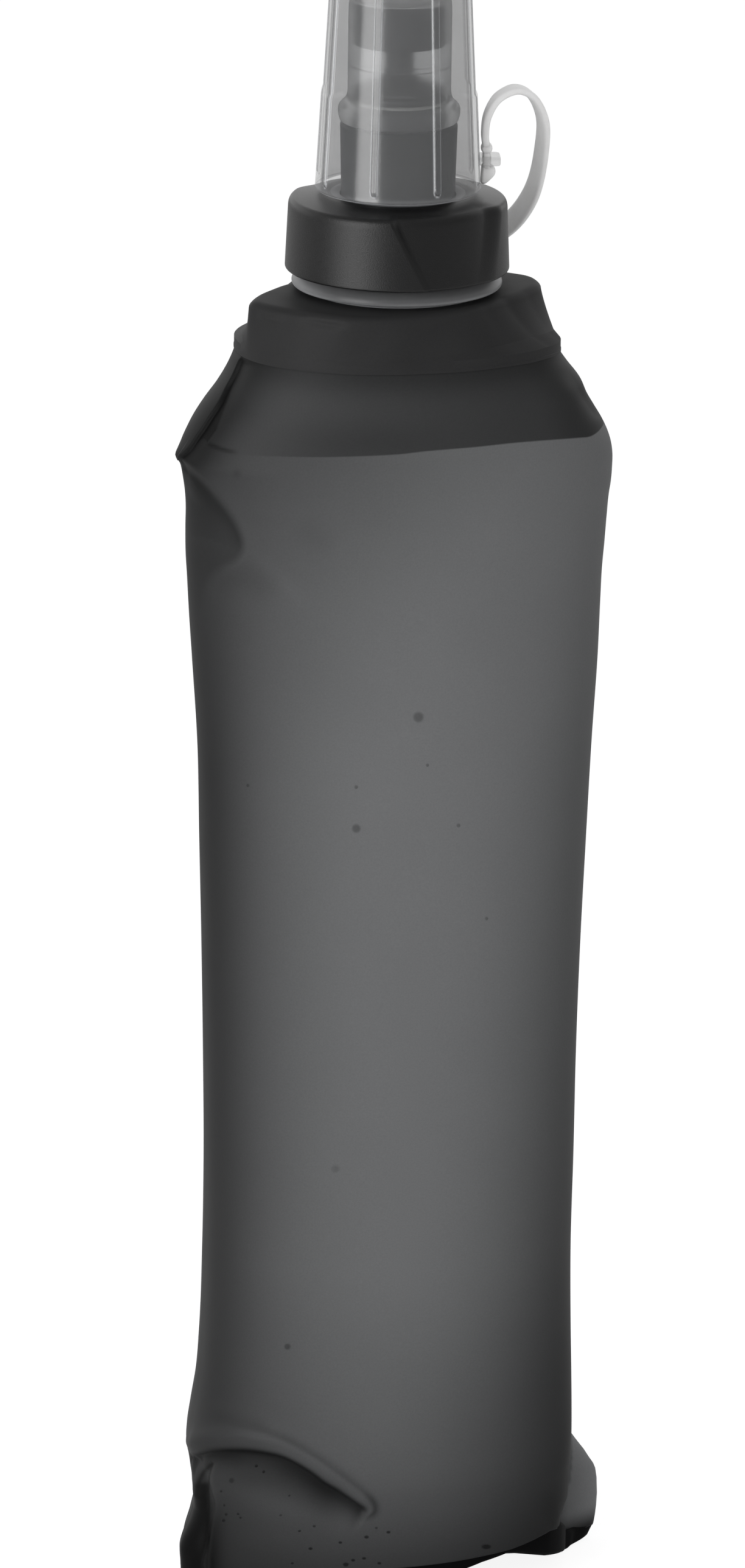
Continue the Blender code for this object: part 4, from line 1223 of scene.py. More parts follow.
        depth = seam - foot
        corner = np.minimum(0.0013, depth)
        rings = [level(-0.030, foot * 0.5 + 0.0030), level(-0.016, foot * 0.9 + 0.0018)]
        rings += [level(-0.0060, foot + 0.0016), level(-0.0016, foot + 0.5 * depth)]
        rings += [level(-0.0016, seam + 0.0006), level(-0.0008, seam + 0.0008)]
        rings += [level(-0.0001, seam - 0.0001)]
        for step in range(1, 9):
            turn = math.radians(90.0 * step / 8)
            reach = -0.0001 - 0.0013 * (1 - math.cos(turn))
            rings.append(level(reach, foot + corner * (1 - math.sin(turn))))
        rings += [level(-0.016, foot * 0.9), level(-0.030, foot * 0.5)]
        item = skin("base_cup_shell", np.array(rings), DEEP_BLACK, closed=False, capped=True)
        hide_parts("base_cup")
        return item

    def shoulder(self) -> bpy.types.Object:
        """Build the shoulder: weld land, softly folded slope and the plate round the neck."""
        turns = even_turns(self.sides)
        rim = self.rim(turns)
        top, edge, sheet, start = self.seam_high + 0.0140, 0.0016, 0.0014, 0.0006
        land = self.ovals(rim[None, :], turns, -self.land_out)[0]
        inside = self.ovals(rim[None, :], turns, -0.0002)[0]
        plate = self.plate_ring(turns, 0.0)
        hole = polar(turns, 0.0203, 0.0)
        hollow = SLOPE_HOLLOW.at(np.degrees(turns))
        rings = [set_height(land * 0.9995, rim)]
        rings += [set_height(land, rim + rise) for rise in (0.0002, start)]
        for share in np.linspace(0.04, 1.0, 34):
            drawn = (1.0 - (1.0 - share) ** hollow)[:, None]
            height = rim + start + (top - edge - rim - start) * share
            rings.append(set_height(land * (1 - drawn) + plate * drawn, height))
        for step in range(1, 8):
            turn = math.radians(90.0 * step / 7)
            ring = self.plate_ring(turns, 0.0026 * (1 - math.cos(turn)))
            rings.append(set_height(ring, top - edge + edge * math.sin(turn)))
        last, sculpted = rings[-1], len(rings) + 1
        rings += [set_height(last * (1 - share) + hole * share, top) for share in (0.25, 0.5, 0.75)]
        rings += [set_height(hole, top), set_height(hole, top - sheet)]
        rings.append(set_height(self.plate_ring(turns, 0.0028) * 0.98, top - sheet))
        rings.append(set_height(self.plate_ring(turns, 0.0016) * 0.97, top - 0.0040))
        rings += [set_height(inside, rim + 0.0026), set_height(inside, rim)]
        mesh = np.array(rings)
        skirt = mesh[:sculpted]
        normals = self.outward(skirt)
        flat = self.view.pixels(skirt).reshape(-1, 2)
        facing = self.view.facing(skirt, normals).reshape(-1)
        lift = sum(crease.lift(flat) for crease in self.wrinkles) * facing
        mesh[:sculpted] += normals * lift.reshape(sculpted, self.sides)[..., None]
        item = skin("shoulder_shell", mesh, BLACK_MOULDING)
        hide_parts("shoulder")
        return item

    def plate_ring(self, turns: Array, inset: float) -> Array:
        """Return the shoulder plate's fold, which stands furthest out at its two corners."""
        radius = PLATE_REACH.at(np.degrees(turns), period=360.0)
        window = np.hanning(2 * int(len(turns) * 4.5 / 360) + 1)
        size = len(window)
        spread = np.concatenate([radius[-size:], radius, radius[:size]])
        smooth = np.convolve(spread, window / window.sum(), mode="same")[size:-size]
        return polar(turns, 0.001 * smooth - inset, 0.0)

    def build(self) -> list[tuple[bpy.types.Object, Carrier]]:
        """Return the body's pieces and what carries each."""
        for film in self.film():
            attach(film, Carrier.BASE.value)
            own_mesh(film)
        return [(self.base(), Carrier.BASE), (self.shoulder(), Carrier.TOP)]


# Cap: collar, tether, spout, stopper, sleeve and dust cap


@dataclass
class ScrewCollar:
    """The textured collar with its two sculpted grips."""

    foot: float = 0.3103
    top: float = 0.3266
    seat: float = 0.3274
    bore: float = 0.0224
    hole: float = 0.0130
    foot_radius: float = 0.0251
    top_radius: float = 0.0244
    step_radius: float = 0.0172
    roof: float = 0.0030
    edge: float = 0.0019
    grip_foot: Pair = (-87.6, -40.9)
    grip_top: Pair = (-106.7, -29.0)
    grip_depth: Pair = (0.0005, 0.0019)
    grip_wall: Pair = (4.2, 15.0)
    sides: int = 960
    pace: float = 0.00035

    def profile(self) -> Array:
        """Return the outer side from the step down to the foot, close enough to sculpt."""
        corners = [
            (self.hole + 0.001, self.seat, 0.0),
            (self.step_radius, self.seat, 0.0004),
            (self.top_radius - 0.0024, self.top, 0.0010),
            (self.top_radius, self.top - 0.0004, self.edge),
            (self.foot_radius, self.foot, 0.0006),
            (self.bore + 0.0004, self.foot, 0.0),
        ]
        points = np.array(rounded(corners, 10, closed=False))
        dense = [points[0]]
        for start, end in zip(points, points[1:]):
            count = max(1, int(np.linalg.norm(end - start) / self.pace))
            dense += [start + (end - start) * step / count for step in range(1, count + 1)]
        return np.array(dense)

    def recess(self, turns: Array, radius: Array, height: Array) -> Array:
        """Return how deep the grips are cut at each point: side, rounded edge and top alike."""
        share = np.clip((height - self.foot) / (self.top - self.foot), 0.0, 1.0)
        first = self.grip_foot[0] + (self.grip_top[0] - self.grip_foot[0]) * share
        last = self.grip_foot[1] + (self.grip_top[1] - self.grip_foot[1]) * share
        middle, half = (first + last) / 2, (last - first) / 2
        depth = self.grip_depth[0] + (self.grip_depth[1] - self.grip_depth[0]) * share
        outer = ease(radius, self.step_radius + 0.0006, self.top_radius - 0.0012)
        foot = ease(height, self.foot - 0.0001, self.foot + 0.0003)
        total = np.zeros_like(height + turns)
        for opposite in (0.0, 180.0):
            signed = aside(np.degrees(turns), middle + opposite)
            wall = np.where(signed < 0.0, *self.grip_wall)
            cut = 1.0 - ease(np.abs(signed), half - wall, half)
            total = total + cut * depth * outer * foot
        return total

    def build(self) -> list[tuple[bpy.types.Object, Carrier]]:
        """Return the collar."""
        turns = even_turns(self.sides)
        outer = self.profile()
        radius, height = outer[:, :1], outer[:, 1:]
        cut = self.recess(turns[None, :], radius, height)
        inner = (
            (self.bore, self.foot + 0.0006),
            (self.bore, self.seat - self.roof),
            (self.hole, self.seat - self.roof),
            (self.hole, self.seat - 0.0003),
        )
        rest = np.array([polar(turns, radius, height) for radius, height in inner])
        rings = np.concatenate([polar(turns, outer[:, :1] - cut, height), rest])
        item = skin("screw_collar", rings, SPARK_TEXTURE, sharp=50.0)
        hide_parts("collar")
        return [(item, Carrier.CAP)]


@dataclass
class Tether:
    """The ring under the collar and the strap that holds the dust cap."""

    foot: float = 0.3059
    height: float = 0.0038
    bore: float = 0.0216
    radius: float = 0.0236
    collar_radius: float = 0.0251
    lug_height: float = 0.3345
    lug_thickness: float = 0.0028
    slot: float = 0.0196
    turn: float = -12.0
    lug_turn: float = 3.0
    strap_width: float = 0.0050
    neck_width: float = 0.0042
    thickness: float = 0.0019
    per_span: int = 8

    def route(self) -> list[Triple]:
        """Return the strap's way as angle, radius and height, from the ring to the lug."""
        middle = self.foot + self.height / 2
        collar, lug, slot = self.collar_radius, self.lug_height, self.slot
        return [
            (68.0, (self.bore + self.radius) / 2, middle),
            (67.0, self.radius + 0.0028, middle + 0.0002),
            (61.0, collar + 0.0050, middle + 0.0012),
            (52.0, collar + 0.0078, middle + 0.0034),
            (43.5, collar + 0.0097, middle + 0.0072),
            (36.5, collar + 0.0106, middle + 0.0122),
            (31.0, collar + 0.0109, middle + 0.0180),
            (25.8, slot + 0.0160, lug - 0.0008),
            (20.8, slot + 0.0148, lug + 0.0068),
            (15.8, slot + 0.0114, lug + 0.0129),
            (11.2, slot + 0.0070, lug + 0.0154),
            (7.2, slot + 0.0026, lug + 0.0140),
            (4.3, slot + 0.0002, lug + 0.0104),
            (self.lug_turn + 0.2, slot - 0.0004, lug + 0.0062),
            (self.lug_turn, slot, lug + 0.0024),
            (self.lug_turn, slot, lug - self.lug_thickness / 2 - 0.0012),
        ]

    def strap(self) -> Array:
        """Return the strap's rings: a flat band with rounded edges that faces the axis."""
        corners = [spot(turn + self.turn, radius, height) for turn, radius, height in self.route()]
        path = [Vector(point) for point in curve(corners, self.per_span)]
        count = len(path)
        rings = []
        for index, point in enumerate(path):
            ahead = (path[min(index + 1, count - 1)] - path[max(index - 1, 0)]).normalized()
            out = Vector((point.x, point.y, 0.0)).normalized()
            around = Vector((-out.y, out.x, 0.0))
            share = min(max((index - 6.5 * self.per_span) / self.per_span + 0.5, 0.0), 1.0)
            start = min(max((index - 1.5 * self.per_span) / self.per_span, 0.0), 1.0)
            across = around.lerp(-out.cross(ahead), start).lerp(around, share)
            across = (across - ahead * across.dot(ahead)).normalized()
            face = across.cross(ahead).normalized()
            narrow = min(max((index / (count - 1) - 0.80) / 0.12, 0.0), 1.0)
            width = self.strap_width + (self.neck_width - self.strap_width) * narrow
            rings.append(self.band(point, across * width / 2, face * self.thickness / 2))
        return np.array(rings)

    def band(self, middle: Vector, half_width: Vector, half_thick: Vector) -> list[Vector]:
        """Return one rounded ring of the band, a little thinner along its middle."""
        ring = []
        for index in range(20):
            turn = math.tau * (index + 0.5) / 20
            cosine, sine = math.cos(turn), math.sin(turn)
            side = math.copysign(abs(cosine) ** 0.45, cosine)
            thick = math.copysign(abs(sine) ** 0.65, sine) * (0.86 + 0.14 * abs(cosine))
            ring.append(middle + half_width * side + half_thick * thick)
        return ring

    def knob(
        self, name: str, outline: Sequence[Pair], half: float, edge: float
    ) -> bpy.types.Object:
        """Return a rounded block from an outline in radius and height across the strap's end."""
        out, around = directions(self.lug_turn + self.turn)
        points = np.array(outline)
        middle = points.mean(axis=0)
        rings = []
        for step in range(-6, 7):
            turn = math.radians(90.0 * step / 6)
            inset = 1.0 - (1.0 - math.cos(turn)) * edge
            side = half * math.sin(turn)
            ring = middle + (points - middle) * inset
            rings.append([out * r + around * side + Vector((0.0, 0.0, z)) for r, z in ring])
        return skin(name, np.array(rings), NATURAL_STRAP, closed=False, capped=True, sharp=70.0)

    def build(self) -> list[tuple[bpy.types.Object, Carrier]]:
        """Return the ring; the strap with its bead and barb is built but not returned."""
        top = self.foot + self.height
        band = rounded(
            [
                (self.radius - 0.0016, top, 0.0003),
                (self.radius - 0.0003, self.foot + 0.0022, 0.0005),
                (self.radius, self.foot + 0.0015, 0.0004),
                (self.radius - 0.0002, self.foot + 0.0008, 0.0003),
                (self.radius - 0.0012, self.foot + 0.0005, 0.0003),
                (self.bore, self.foot + 0.0005, 0.0003),
                (self.bore, top, 0.0003),
            ]
        )
        ring = turned("tether_ring", band, TETHER_RING)
        store_rest(ring)
        rings = self.strap()
        strap = skin("tether_strap_run", rings, NATURAL_STRAP, closed=False, capped=True, sharp=70)
        lug, slot, half = self.lug_height, self.slot, self.lug_thickness / 2
        bead_middle = lug + half + 0.0003 + 0.0013
        bead = [
            (slot + 0.0013 * math.cos(turn), bead_middle + 0.0013 * math.sin(turn))
            for turn in np.linspace(0, math.tau, 24, endpoint=False)
        ]
        under = lug - 0.0008
        barb_outline = [
            (slot - 0.0011, under, 0.0002),
            (slot + 0.0014, under, 0.0006),
            (slot + 0.0021, under - 0.0010, 0.0008),
            (slot + 0.0020, under - 0.0022, 0.0009),
            (slot - 0.0003, under - 0.0044, 0.0008),
            (slot - 0.0013, under - 0.0042, 0.0005),
        ]
        knobs = [
            self.knob("tether_bead", bead, 0.0021, 0.35),
            self.knob("tether_barb", rounded(barb_outline), 0.0021, 0.30),
        ]
        start = Vector(spot(self.route()[0][0] + self.turn, self.radius, self.foot))
        end = Vector(spot(self.lug_turn + self.turn, slot, lug))
        for piece in [strap] + knobs:
            store_rest(piece)
            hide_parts("tether_strap")
            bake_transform(piece)
        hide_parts("tether_strap")
        return [(ring, Carrier.CAP)]


@dataclass
class Valve:
    """The spout, the stopper on it and the sleeve that slides over both."""

    foot: float = 0.3229
    seat: float = 0.3276
    step: float = 0.3434
    post_top: float = 0.3503
    sleeve_foot: float = 0.3437
    sleeve_top: float = 0.3725
    sleeve_radius: float = 0.0115
    sleeve_bore: float = 0.0106
    bulb_radius: float = 0.0137
    head_foot: float = 0.3612
    head_top: float = 0.3704
    groove_foot: float = 0.34745
    groove_top: float = 0.34875
    post: float = 0.0103
    groove: float = 0.0094

    def spout(self) -> bpy.types.Object:
        """Build the spout: flange, tapered wall, rounded shoulder and post."""
        profile = rounded(
            [
                (0.0099, self.post_top, 0.0003),
                (self.post, self.post_top - 0.0004, 0.0003),
                (self.post, self.groove_top, 0.0001),
                (self.groove, self.groove_top, 0.0001),
                (self.groove, self.groove_foot, 0.0001),
                (self.post, self.groove_foot, 0.0001),
                (self.post, self.step, 0.0003),
                (0.0131, self.step, 0.0008),
                (0.0127, self.seat, 0.0002),
                (0.0127, self.foot + 0.0014, 0.0002),
                (0.0210, self.foot + 0.0014, 0.0002),
                (0.0210, self.foot, 0.0002),
                (0.0111, self.foot, 0.0003),
                (0.0111, self.step - 0.0040, 0.0003),
                (0.0088, self.step - 0.0015, 0.0003),
                (0.0088, self.post_top, 0.0002),
            ]
        )
        item = turned("spout_moulding", profile, SPOUT_GREY)
        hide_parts("spout_base")
        return item

    def stem(self) -> bpy.types.Object:
        """Build the T-shaped stopper: nipple, head, flared stem and spigot."""
        bell = self.post_top + 0.0003
        corners = [
            (0.0, self.sleeve_top - 0.0005, 0.0),
            (0.0037, self.sleeve_top - 0.0005, 0.0006),
            (0.0037, self.head_top, 0.0003),
            (0.0103, self.head_top, 0.0007),
            (0.0103, self.head_foot, 0.0006),
            (0.0032, self.head_foot, 0.0008),
            (0.0032, bell + 0.0046, 0.0008),
            (0.0044, bell + 0.0026, 0.0012),
            (0.0099, bell + 0.0008, 0.0006),
            (0.0099, bell, 0.0002),
            (0.0085, bell, 0.0001),
            (0.0085, bell - 0.0028, 0.0002),
            (0.0074, bell - 0.0028, 0.0002),
            (0.0074, bell - 0.0006, 0.0002),
            (0.0032, bell + 0.0006, 0.0003),
            (0.0, bell + 0.0008, 0.0),
        ]
        item = turned("stopper", rounded(corners, 6, closed=False), STEM_GREY, closed=False)
        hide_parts("valve_stem")
        return item

    def sleeve(self) -> bpy.types.Object:
        """Build the sleeve: rounded mouth, straight wall, stop rib and bulb skirt."""
        foot, top = self.sleeve_foot, self.sleeve_top
        outer = [
            (0.0043, top, 0.0002),
            (self.sleeve_radius - 0.0003, top, 0.0012),
            (self.sleeve_radius, top - 0.0030, 0.0010),
            (self.sleeve_radius, foot + 0.0062, 0.0012),
            (self.sleeve_radius + 0.0006, foot + 0.0048, 0.0006),
            (self.bulb_radius - 0.0002, foot + 0.0036, 0.0008),
            (self.bulb_radius, foot + 0.0020, 0.0010),
            (self.bulb_radius - 0.0006, foot, 0.0005),
            (self.sleeve_bore, foot, 0.0002),
            (self.sleeve_bore, self.head_foot - 0.0050, 0.0),
            (self.sleeve_bore - 0.0006, self.head_foot - 0.0046, 0.0002),
            (self.sleeve_bore - 0.0006, self.head_foot - 0.0038, 0.0002),
            (self.sleeve_bore, self.head_foot - 0.0038, 0.0),
            (self.sleeve_bore, top - 0.0014, 0.0004),
            (0.0040, top - 0.0014, 0.0002),
            (0.0040, top - 0.0003, 0.0001),
        ]
        item = turned("drinking_sleeve", rounded(outer), FROSTED_SLEEVE)
        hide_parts("mouthpiece")
        return item

    def build(self) -> list[tuple[bpy.types.Object, Carrier]]:
        """Return the valve's pieces and what carries each."""
        return [
            (self.spout(), Carrier.CAP),
            (self.stem(), Carrier.CAP),
            (self.sleeve(), Carrier.MOUTHPIECE),
        ]


@dataclass
class DustCap:
    """The clear cap with its ribs, finger lobes and lug."""

    rim: float = 0.3283
    ceiling: float = 0.3771
    top: float = 0.3783
    radius: float = 0.01855
    taper: float = 3.02
    wall: float = 0.0012
    edge: float = 0.0025
    ribs: int = 8
    rib_turn: float = -28.5
    rib_half: float = 0.00082
    rib_proud: float = 0.00050
    rib_rise: float = 0.0022
    lobe_turn: float = -10.0
    lobe_half: float = 43.0
    lobe_rise: float = 0.0220
    lobe_depth: float = 0.00035
    lug_rise: float = 0.0048
    lug_thickness: float = 0.0028
    turn: float = -9.0
    sides: int = 960

    def radius_at(self, height: Array | float) -> Array:
        """Return the outer radius of the tapered wall."""
        return self.radius - (np.asarray(height) - self.rim) * math.tan(math.radians(self.taper))

    def arc(self, middle: Pair, size: float, first: float, last: float, steps: int) -> list[Pair]:
        """Return a round edge's points after its first, between two angles in degrees."""
        found = []
        for step in range(1, steps + 1):
            turn = math.radians(first + (last - first) * step / steps)
            found.append((middle[0] + size * math.cos(turn), middle[1] + size * math.sin(turn)))
        return found

    def outer(self) -> Array:
        """Return the outer profile, close enough for the ribs' and lobes' ends."""
        edge, foot = self.top - self.edge, 0.0006
        top_radius = float(self.radius_at(edge))
        points = [(radius, self.top) for radius in np.linspace(0.0, top_radius - self.edge, 6)]
        points += self.arc((top_radius - self.edge, edge), self.edge, 90.0, 0.0, 12)
        for height in np.linspace(edge, self.rim + 0.0009, 110)[1:]:
            points.append((float(self.radius_at(height)), height))
        points += self.arc((self.radius - foot, self.rim + foot), foot, 0.0, -90.0, 6)
        return np.array(points)

    def across_ribs(self, turns: Array, radius: Array) -> Iterator[Array]:
        """Yield how far each point lies from the middle of each rib, round the wall."""
        for index in range(self.ribs):
            middle = -90.0 + self.rib_turn + 360.0 * index / self.ribs
            yield np.radians(np.abs(aside(np.degrees(turns), middle))) * radius

    def relief(self, turns: Array, radius: Array, height: Array) -> Array:
        """Return how far the ribs stand out and the lobes are sunk."""
        edge = self.top - self.edge
        total = np.zeros_like(turns + height)
        for across in self.across_ribs(turns, radius):
            round_foot = self.rim + self.rib_rise + self.rib_half - np.sqrt(
                np.clip(self.rib_half**2 - np.minimum(across, self.rib_half) ** 2, 0.0, None)
            )
            side = 1.0 - ease(across, self.rib_half - 0.00022, self.rib_half + 0.00012)
            along = ease(height, round_foot - 0.0003, round_foot + 0.0003)
            along = along * (1.0 - ease(height, edge - 0.0004, edge + 0.0010))
            total = total + side * along * self.rib_proud
        for middle in (self.lobe_turn, self.lobe_turn + 180.0):
            away = np.abs(aside(np.degrees(turns), middle))
            rise = self.rim + self.lobe_rise + 0.0022 * (away / self.lobe_half) ** 3
            within = 1.0 - ease(away, self.lobe_half - 1.4, self.lobe_half + 0.4)
            within = within * ease(height, rise - 0.0005, rise + 0.0005)
            within = within * (1.0 - ease(height, edge - 0.0006, edge + 0.0006))
            total = total - within * self.lobe_depth * ease(radius, 0.012, 0.0135)
        return total

    def edges(self, turns: Array, radius: Array, height: Array) -> Array:
        """Return where the wall is thicker and hazier and carries painted highlights: along the
        ribs' edges and at the rim.
        """
        found = np.zeros_like(turns + height)
        start = self.rim + self.rib_rise
        foot = ease(height, start - 0.0008, start)
        for across in self.across_ribs(turns, radius):
            reach = np.hypot(across, np.clip(start + self.rib_half - height, 0.0, None))
            line = bell(reach - self.rib_half, 0.00016) * foot
            found = np.maximum(found, line + 0.05 * (reach < self.rib_half))
        rim = bell(height - self.rim - 0.0004, 0.0003)
        second = 0.6 * bell(height - self.rim - 0.0015, 0.0002)
        found = np.maximum(found, np.maximum(rim, second))
        return found * (1.0 - ease(height, self.top - 0.003, self.top))

    def shell(self) -> bpy.types.Object:
        """Build the cap's wall and top."""
        turns = even_turns(self.sides)
        outer = self.outer()
        radius, height = outer[:, :1], outer[:, 1:]
        rings = polar(turns, radius + self.relief(turns[None, :], radius, height), height)
        edge = self.top - self.edge
        middle = float(self.radius_at(edge)) - self.edge, edge
        size = self.edge - self.wall
        inner = [(self.radius - self.wall, self.rim + 0.0001), (middle[0] + size, edge)]
        inner += self.arc(middle, size, 0.0, 90.0, 9)
        inner += [(radius, self.ceiling) for radius in np.linspace(middle[0], 0.0, 4)[1:]]
        rest = np.array([polar(turns, radius, height) for radius, height in inner])
        shell = np.concatenate([rings, rest])
        item = skin("dust_cap_shell", shell, CLEAR_MOULDING, closed=False, sharp=60.0)
        lines = self.edges(turns[None, :], outer[:, :1], outer[:, 1:]).ravel()
        kept = np.zeros(max(shell.size // 3, len(item.data.vertices)))
        kept[:len(lines)] = lines
        store_value(item, "edge", kept[:len(item.data.vertices)])
        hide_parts("dust_cap")
        return item

    def lug(self) -> bpy.types.Object:
        """Build the rounded lug with the slot that the strap passes through."""
        middle = self.rim + self.lug_rise + self.lug_thickness / 2
        wall = float(self.radius_at(middle))
        out, around = directions(self.turn)
        slot_at, start, reach, half = wall + 0.0014, wall - 0.0003, wall + 0.0045, 0.0033
        centre, squareness = (start + reach) / 2, 0.34
        outline, slot = [], []
        for turn in np.linspace(0, math.tau, 64, endpoint=False):
            parts = math.cos(turn), math.sin(turn)
            x, y = (math.copysign(abs(part) ** squareness, part) for part in parts)
            outline.append((centre + x * (reach - start) / 2, y * half))
            slot.append((slot_at + x * 0.00105, y * 0.0018))

        def level(points: list[Pair], rise: float) -> list[Vector]:
            """Return a ring of points outwards and across, at a rise over the lug's middle."""
            lift = Vector((0.0, 0.0, middle + rise))
            return [out * x + around * y + lift for x, y in points]

        levels = (
            (0.0004, 0.0014), (0.0001, 0.0013), (0.0, 0.0010),
            (0.0, -0.0002), (0.0001, -0.0005), (0.0004, -0.0006),
        )
        rings = []
        for shrink, rise in levels:
            across, along = 1.0 - shrink / 0.0024, 1 - shrink / half
            drawn = [(centre + (x - centre) * across, y * along) for x, y in outline]
            rings.append(level(drawn, rise))
        rings += [level(slot, rise) for rise in (-0.0006, 0.0014)]
        item = skin("dust_cap_lug", np.array(rings), CLEAR_LUG, sharp=50.0)
        store_value(item, "edge", np.zeros(len(item.data.vertices)))
        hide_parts("dust_cap")
        return item

    def build(self) -> list[tuple[bpy.types.Object, Carrier]]:
        """Return the cap's wall and its lug."""
        return [(self.shell(), Carrier.DUST_CAP), (self.lug(), Carrier.DUST_CAP)]


@dataclass
class CarriedParts:
    """The solids that stay as they are and get a better finish."""

    finishes: tuple[tuple[str, Finish], ...]
    sharp: float = 30.0

    def dress(self) -> None:
        """Give each carried solid its finish."""
        for node, finish in self.finishes:
            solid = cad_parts[node]
            solid.data.materials.clear()
            solid.data.materials.append(finish.material())
            for face in solid.data.polygons:
                face.use_smooth = True
            solid.data.set_sharp_from_angle(angle=math.radians(self.sharp))
            LOG.info("dressed %s", node)


# Studio


@dataclass
class Softbox:
    """One soft area light, by its angle round the bottle and its height."""

    name: str
    azimuth: float
    height: float
    distance: float
    width: float
    tall: float
    radiance: float
    mirrored: bool = True

    def build(self, target: Vector) -> None:
        """Add the light, aimed at a point."""
        lamp = bpy.data.lights.new(self.name, "AREA")
        lamp.shape = "RECTANGLE"
        lamp.size = self.width
        lamp.size_y = self.tall
        lamp.energy = self.radiance * math.pi * self.width * self.tall
        holder = link(self.name, lamp)
        holder.location = stand(self.azimuth, self.distance, self.height)
        holder.rotation_euler = (target - holder.location).to_track_quat("-Z", "Y").to_euler()
        holder.visible_camera = False
        holder.visible_glossy = self.mirrored


@dataclass
class Studio:
    """The floor, the light and the camera."""

    view: Viewpoint
    ambient: float = 0.62
    mirrored: float = 0.30
    backdrop: float = 0.95
    zenith: float = 0.36
    floor_size: float = 14.0
    floor_white: float = 0.82
    floor_strength: float = 1.27
    floor_glow: float = 0.70
    floor_rough: float = 0.9
    sensor: float = 36.0
    clip: Pair = (0.05, 50.0)
    target: Triple = (0.0, 0.0, 0.19)
    softboxes: tuple[Softbox, ...] = (
        Softbox("key_left", -56.0, 0.42, 0.80, 0.52, 0.80, 2.9),
        Softbox("fill_right", 58.0, 0.50, 1.20, 0.40, 0.90, 1.5, mirrored=False),
        Softbox("top_front", -20.0, 1.30, 0.75, 0.70, 0.50, 1.6, mirrored=False),
    )

    def seen(self, graph: Graph) -> tuple[Signal, Signal]:
        """Return the light path, and 1 on camera rays and on rays through the clear cap."""
        rays = graph.node("ShaderNodeLightPath")
        return rays, rays.math("MAXIMUM", rays, graph.output(rays, "Is Transmission Ray"))

    def world(self) -> None:
        """Light the scene evenly; what the camera sees, or sees through the clear cap, is white."""
        world = bpy.data.worlds.new("studio_world")
        bpy.context.scene.world = world
        world.use_nodes = True
        graph = Graph(world.node_tree)
        background = world.node_tree.nodes["Background"]
        rays, seen = self.seen(graph)
        _, depth, height = graph.split(graph.output(graph.node("ShaderNodeTexCoord"), "Generated"))
        mirror = graph.output(rays, "Is Glossy Ray")
        front = self.ambient - mirror * (self.ambient - self.mirrored)
        level = front + depth.ramp(0.05, 0.60) * (self.backdrop - front)
        level = level + height.ramp(0.30, 0.80) * (self.zenith - level)
        graph.feed(background.inputs["Strength"], level + seen * (1.0 - level))
        background.inputs["Color"].default_value = (1.0, 1.0, 1.0, 1.0)

    def floor(self) -> None:
        """Lay a white floor that keeps the bottle's shadow."""
        half = self.floor_size / 2
        corners = [(-half, -half, 0.0), (half, -half, 0.0), (half, half, 0.0), (-half, half, 0.0)]
        floor = mesh_item("studio_floor", corners, [(0, 1, 2, 3)])
        made = bpy.data.materials.new("studio_floor")
        made.use_nodes = True
        graph = Graph(made.node_tree)
        shader = made.node_tree.nodes["Principled BSDF"]
        shader.inputs["Base Color"].default_value = (*(self.floor_white,) * 3, 1.0)
        shader.inputs["Roughness"].default_value = self.floor_rough
        shader.inputs["Specular IOR Level"].default_value = 0.0
        _, seen = self.seen(graph)
        white = {"Color": (1.0, 1.0, 1.0, 1.0), "Strength": self.floor_strength}
        glow = graph.node("ShaderNodeEmission", None, white)
        lit = Signal(graph, shader.outputs[0])
        parts = {0: seen * self.floor_glow, 1: lit, 2: glow}
        mixed = graph.node("ShaderNodeMixShader", None, parts)
        graph.feed(made.node_tree.nodes["Material Output"].inputs["Surface"], mixed)
        floor.data.materials.append(made)

    def camera(self) -> None:
        """Stand the camera at the photographed angle."""
        lens = bpy.data.cameras.new("camera")
        lens.sensor_fit = "AUTO"
        lens.sensor_width = self.sensor
        lens.lens = self.view.focal / self.view.height * self.sensor
        lens.clip_start, lens.clip_end = self.clip
        holder = link("camera", lens)
        turn = Matrix(self.view.axes()).transposed().to_4x4()
        holder.matrix_world = Matrix.Translation(self.view.place()) @ turn
        bpy.context.scene.camera = holder

    def build(self) -> None:
        """Set up the studio."""
        self.camera()
        self.world()
        self.world()
        self.floor()
        for softbox in self.softboxes:
            softbox.build(Vector(self.target))
        bpy.context.scene.view_settings.view_transform = "Standard"


# Finishes in use

SMOKE_FILM = SmokeFilm()
BLACK_MOULDING = BlackMoulding()
DEEP_BLACK = BlackMoulding(color=(0.0030, 0.0030, 0.0032), specular=0.03, title="base")
SPARK_TEXTURE = SparkTexture()
SPOUT_GREY = SatinGrey()
STEM_GREY = SatinGrey(slot=Slot.STEM, color=(0.075, 0.077, 0.080))
SEAL_RUBBER = SealRubber()
NATURAL_STRAP = MilkyPlastic()
TETHER_RING = MilkyPlastic(color=(0.17, 0.172, 0.176), depth=0.0004, lip=0.3071, title="ring")
MILKY_NECK = MilkyPlastic(slot=Slot.NECK, color=(0.55, 0.56, 0.57))
FROSTED_SLEEVE = FrostedSleeve()
CLEAR_MOULDING = ClearMoulding()
CLEAR_LUG = ClearMoulding(color=(0.50, 0.50, 0.50), haze=0.40, title="lug")
CARRIED_FINISHES = (
    ("neck_insert", MILKY_NECK),
    ("neck_gasket", SEAL_RUBBER),
    ("mouthpiece_o_ring", SEAL_RUBBER),
)

# Tones of the film with painted light and shade, by height in metres over water: a lit middle
# that falls off in painted shade to the sides. Plain over air, and painted light at the right ear

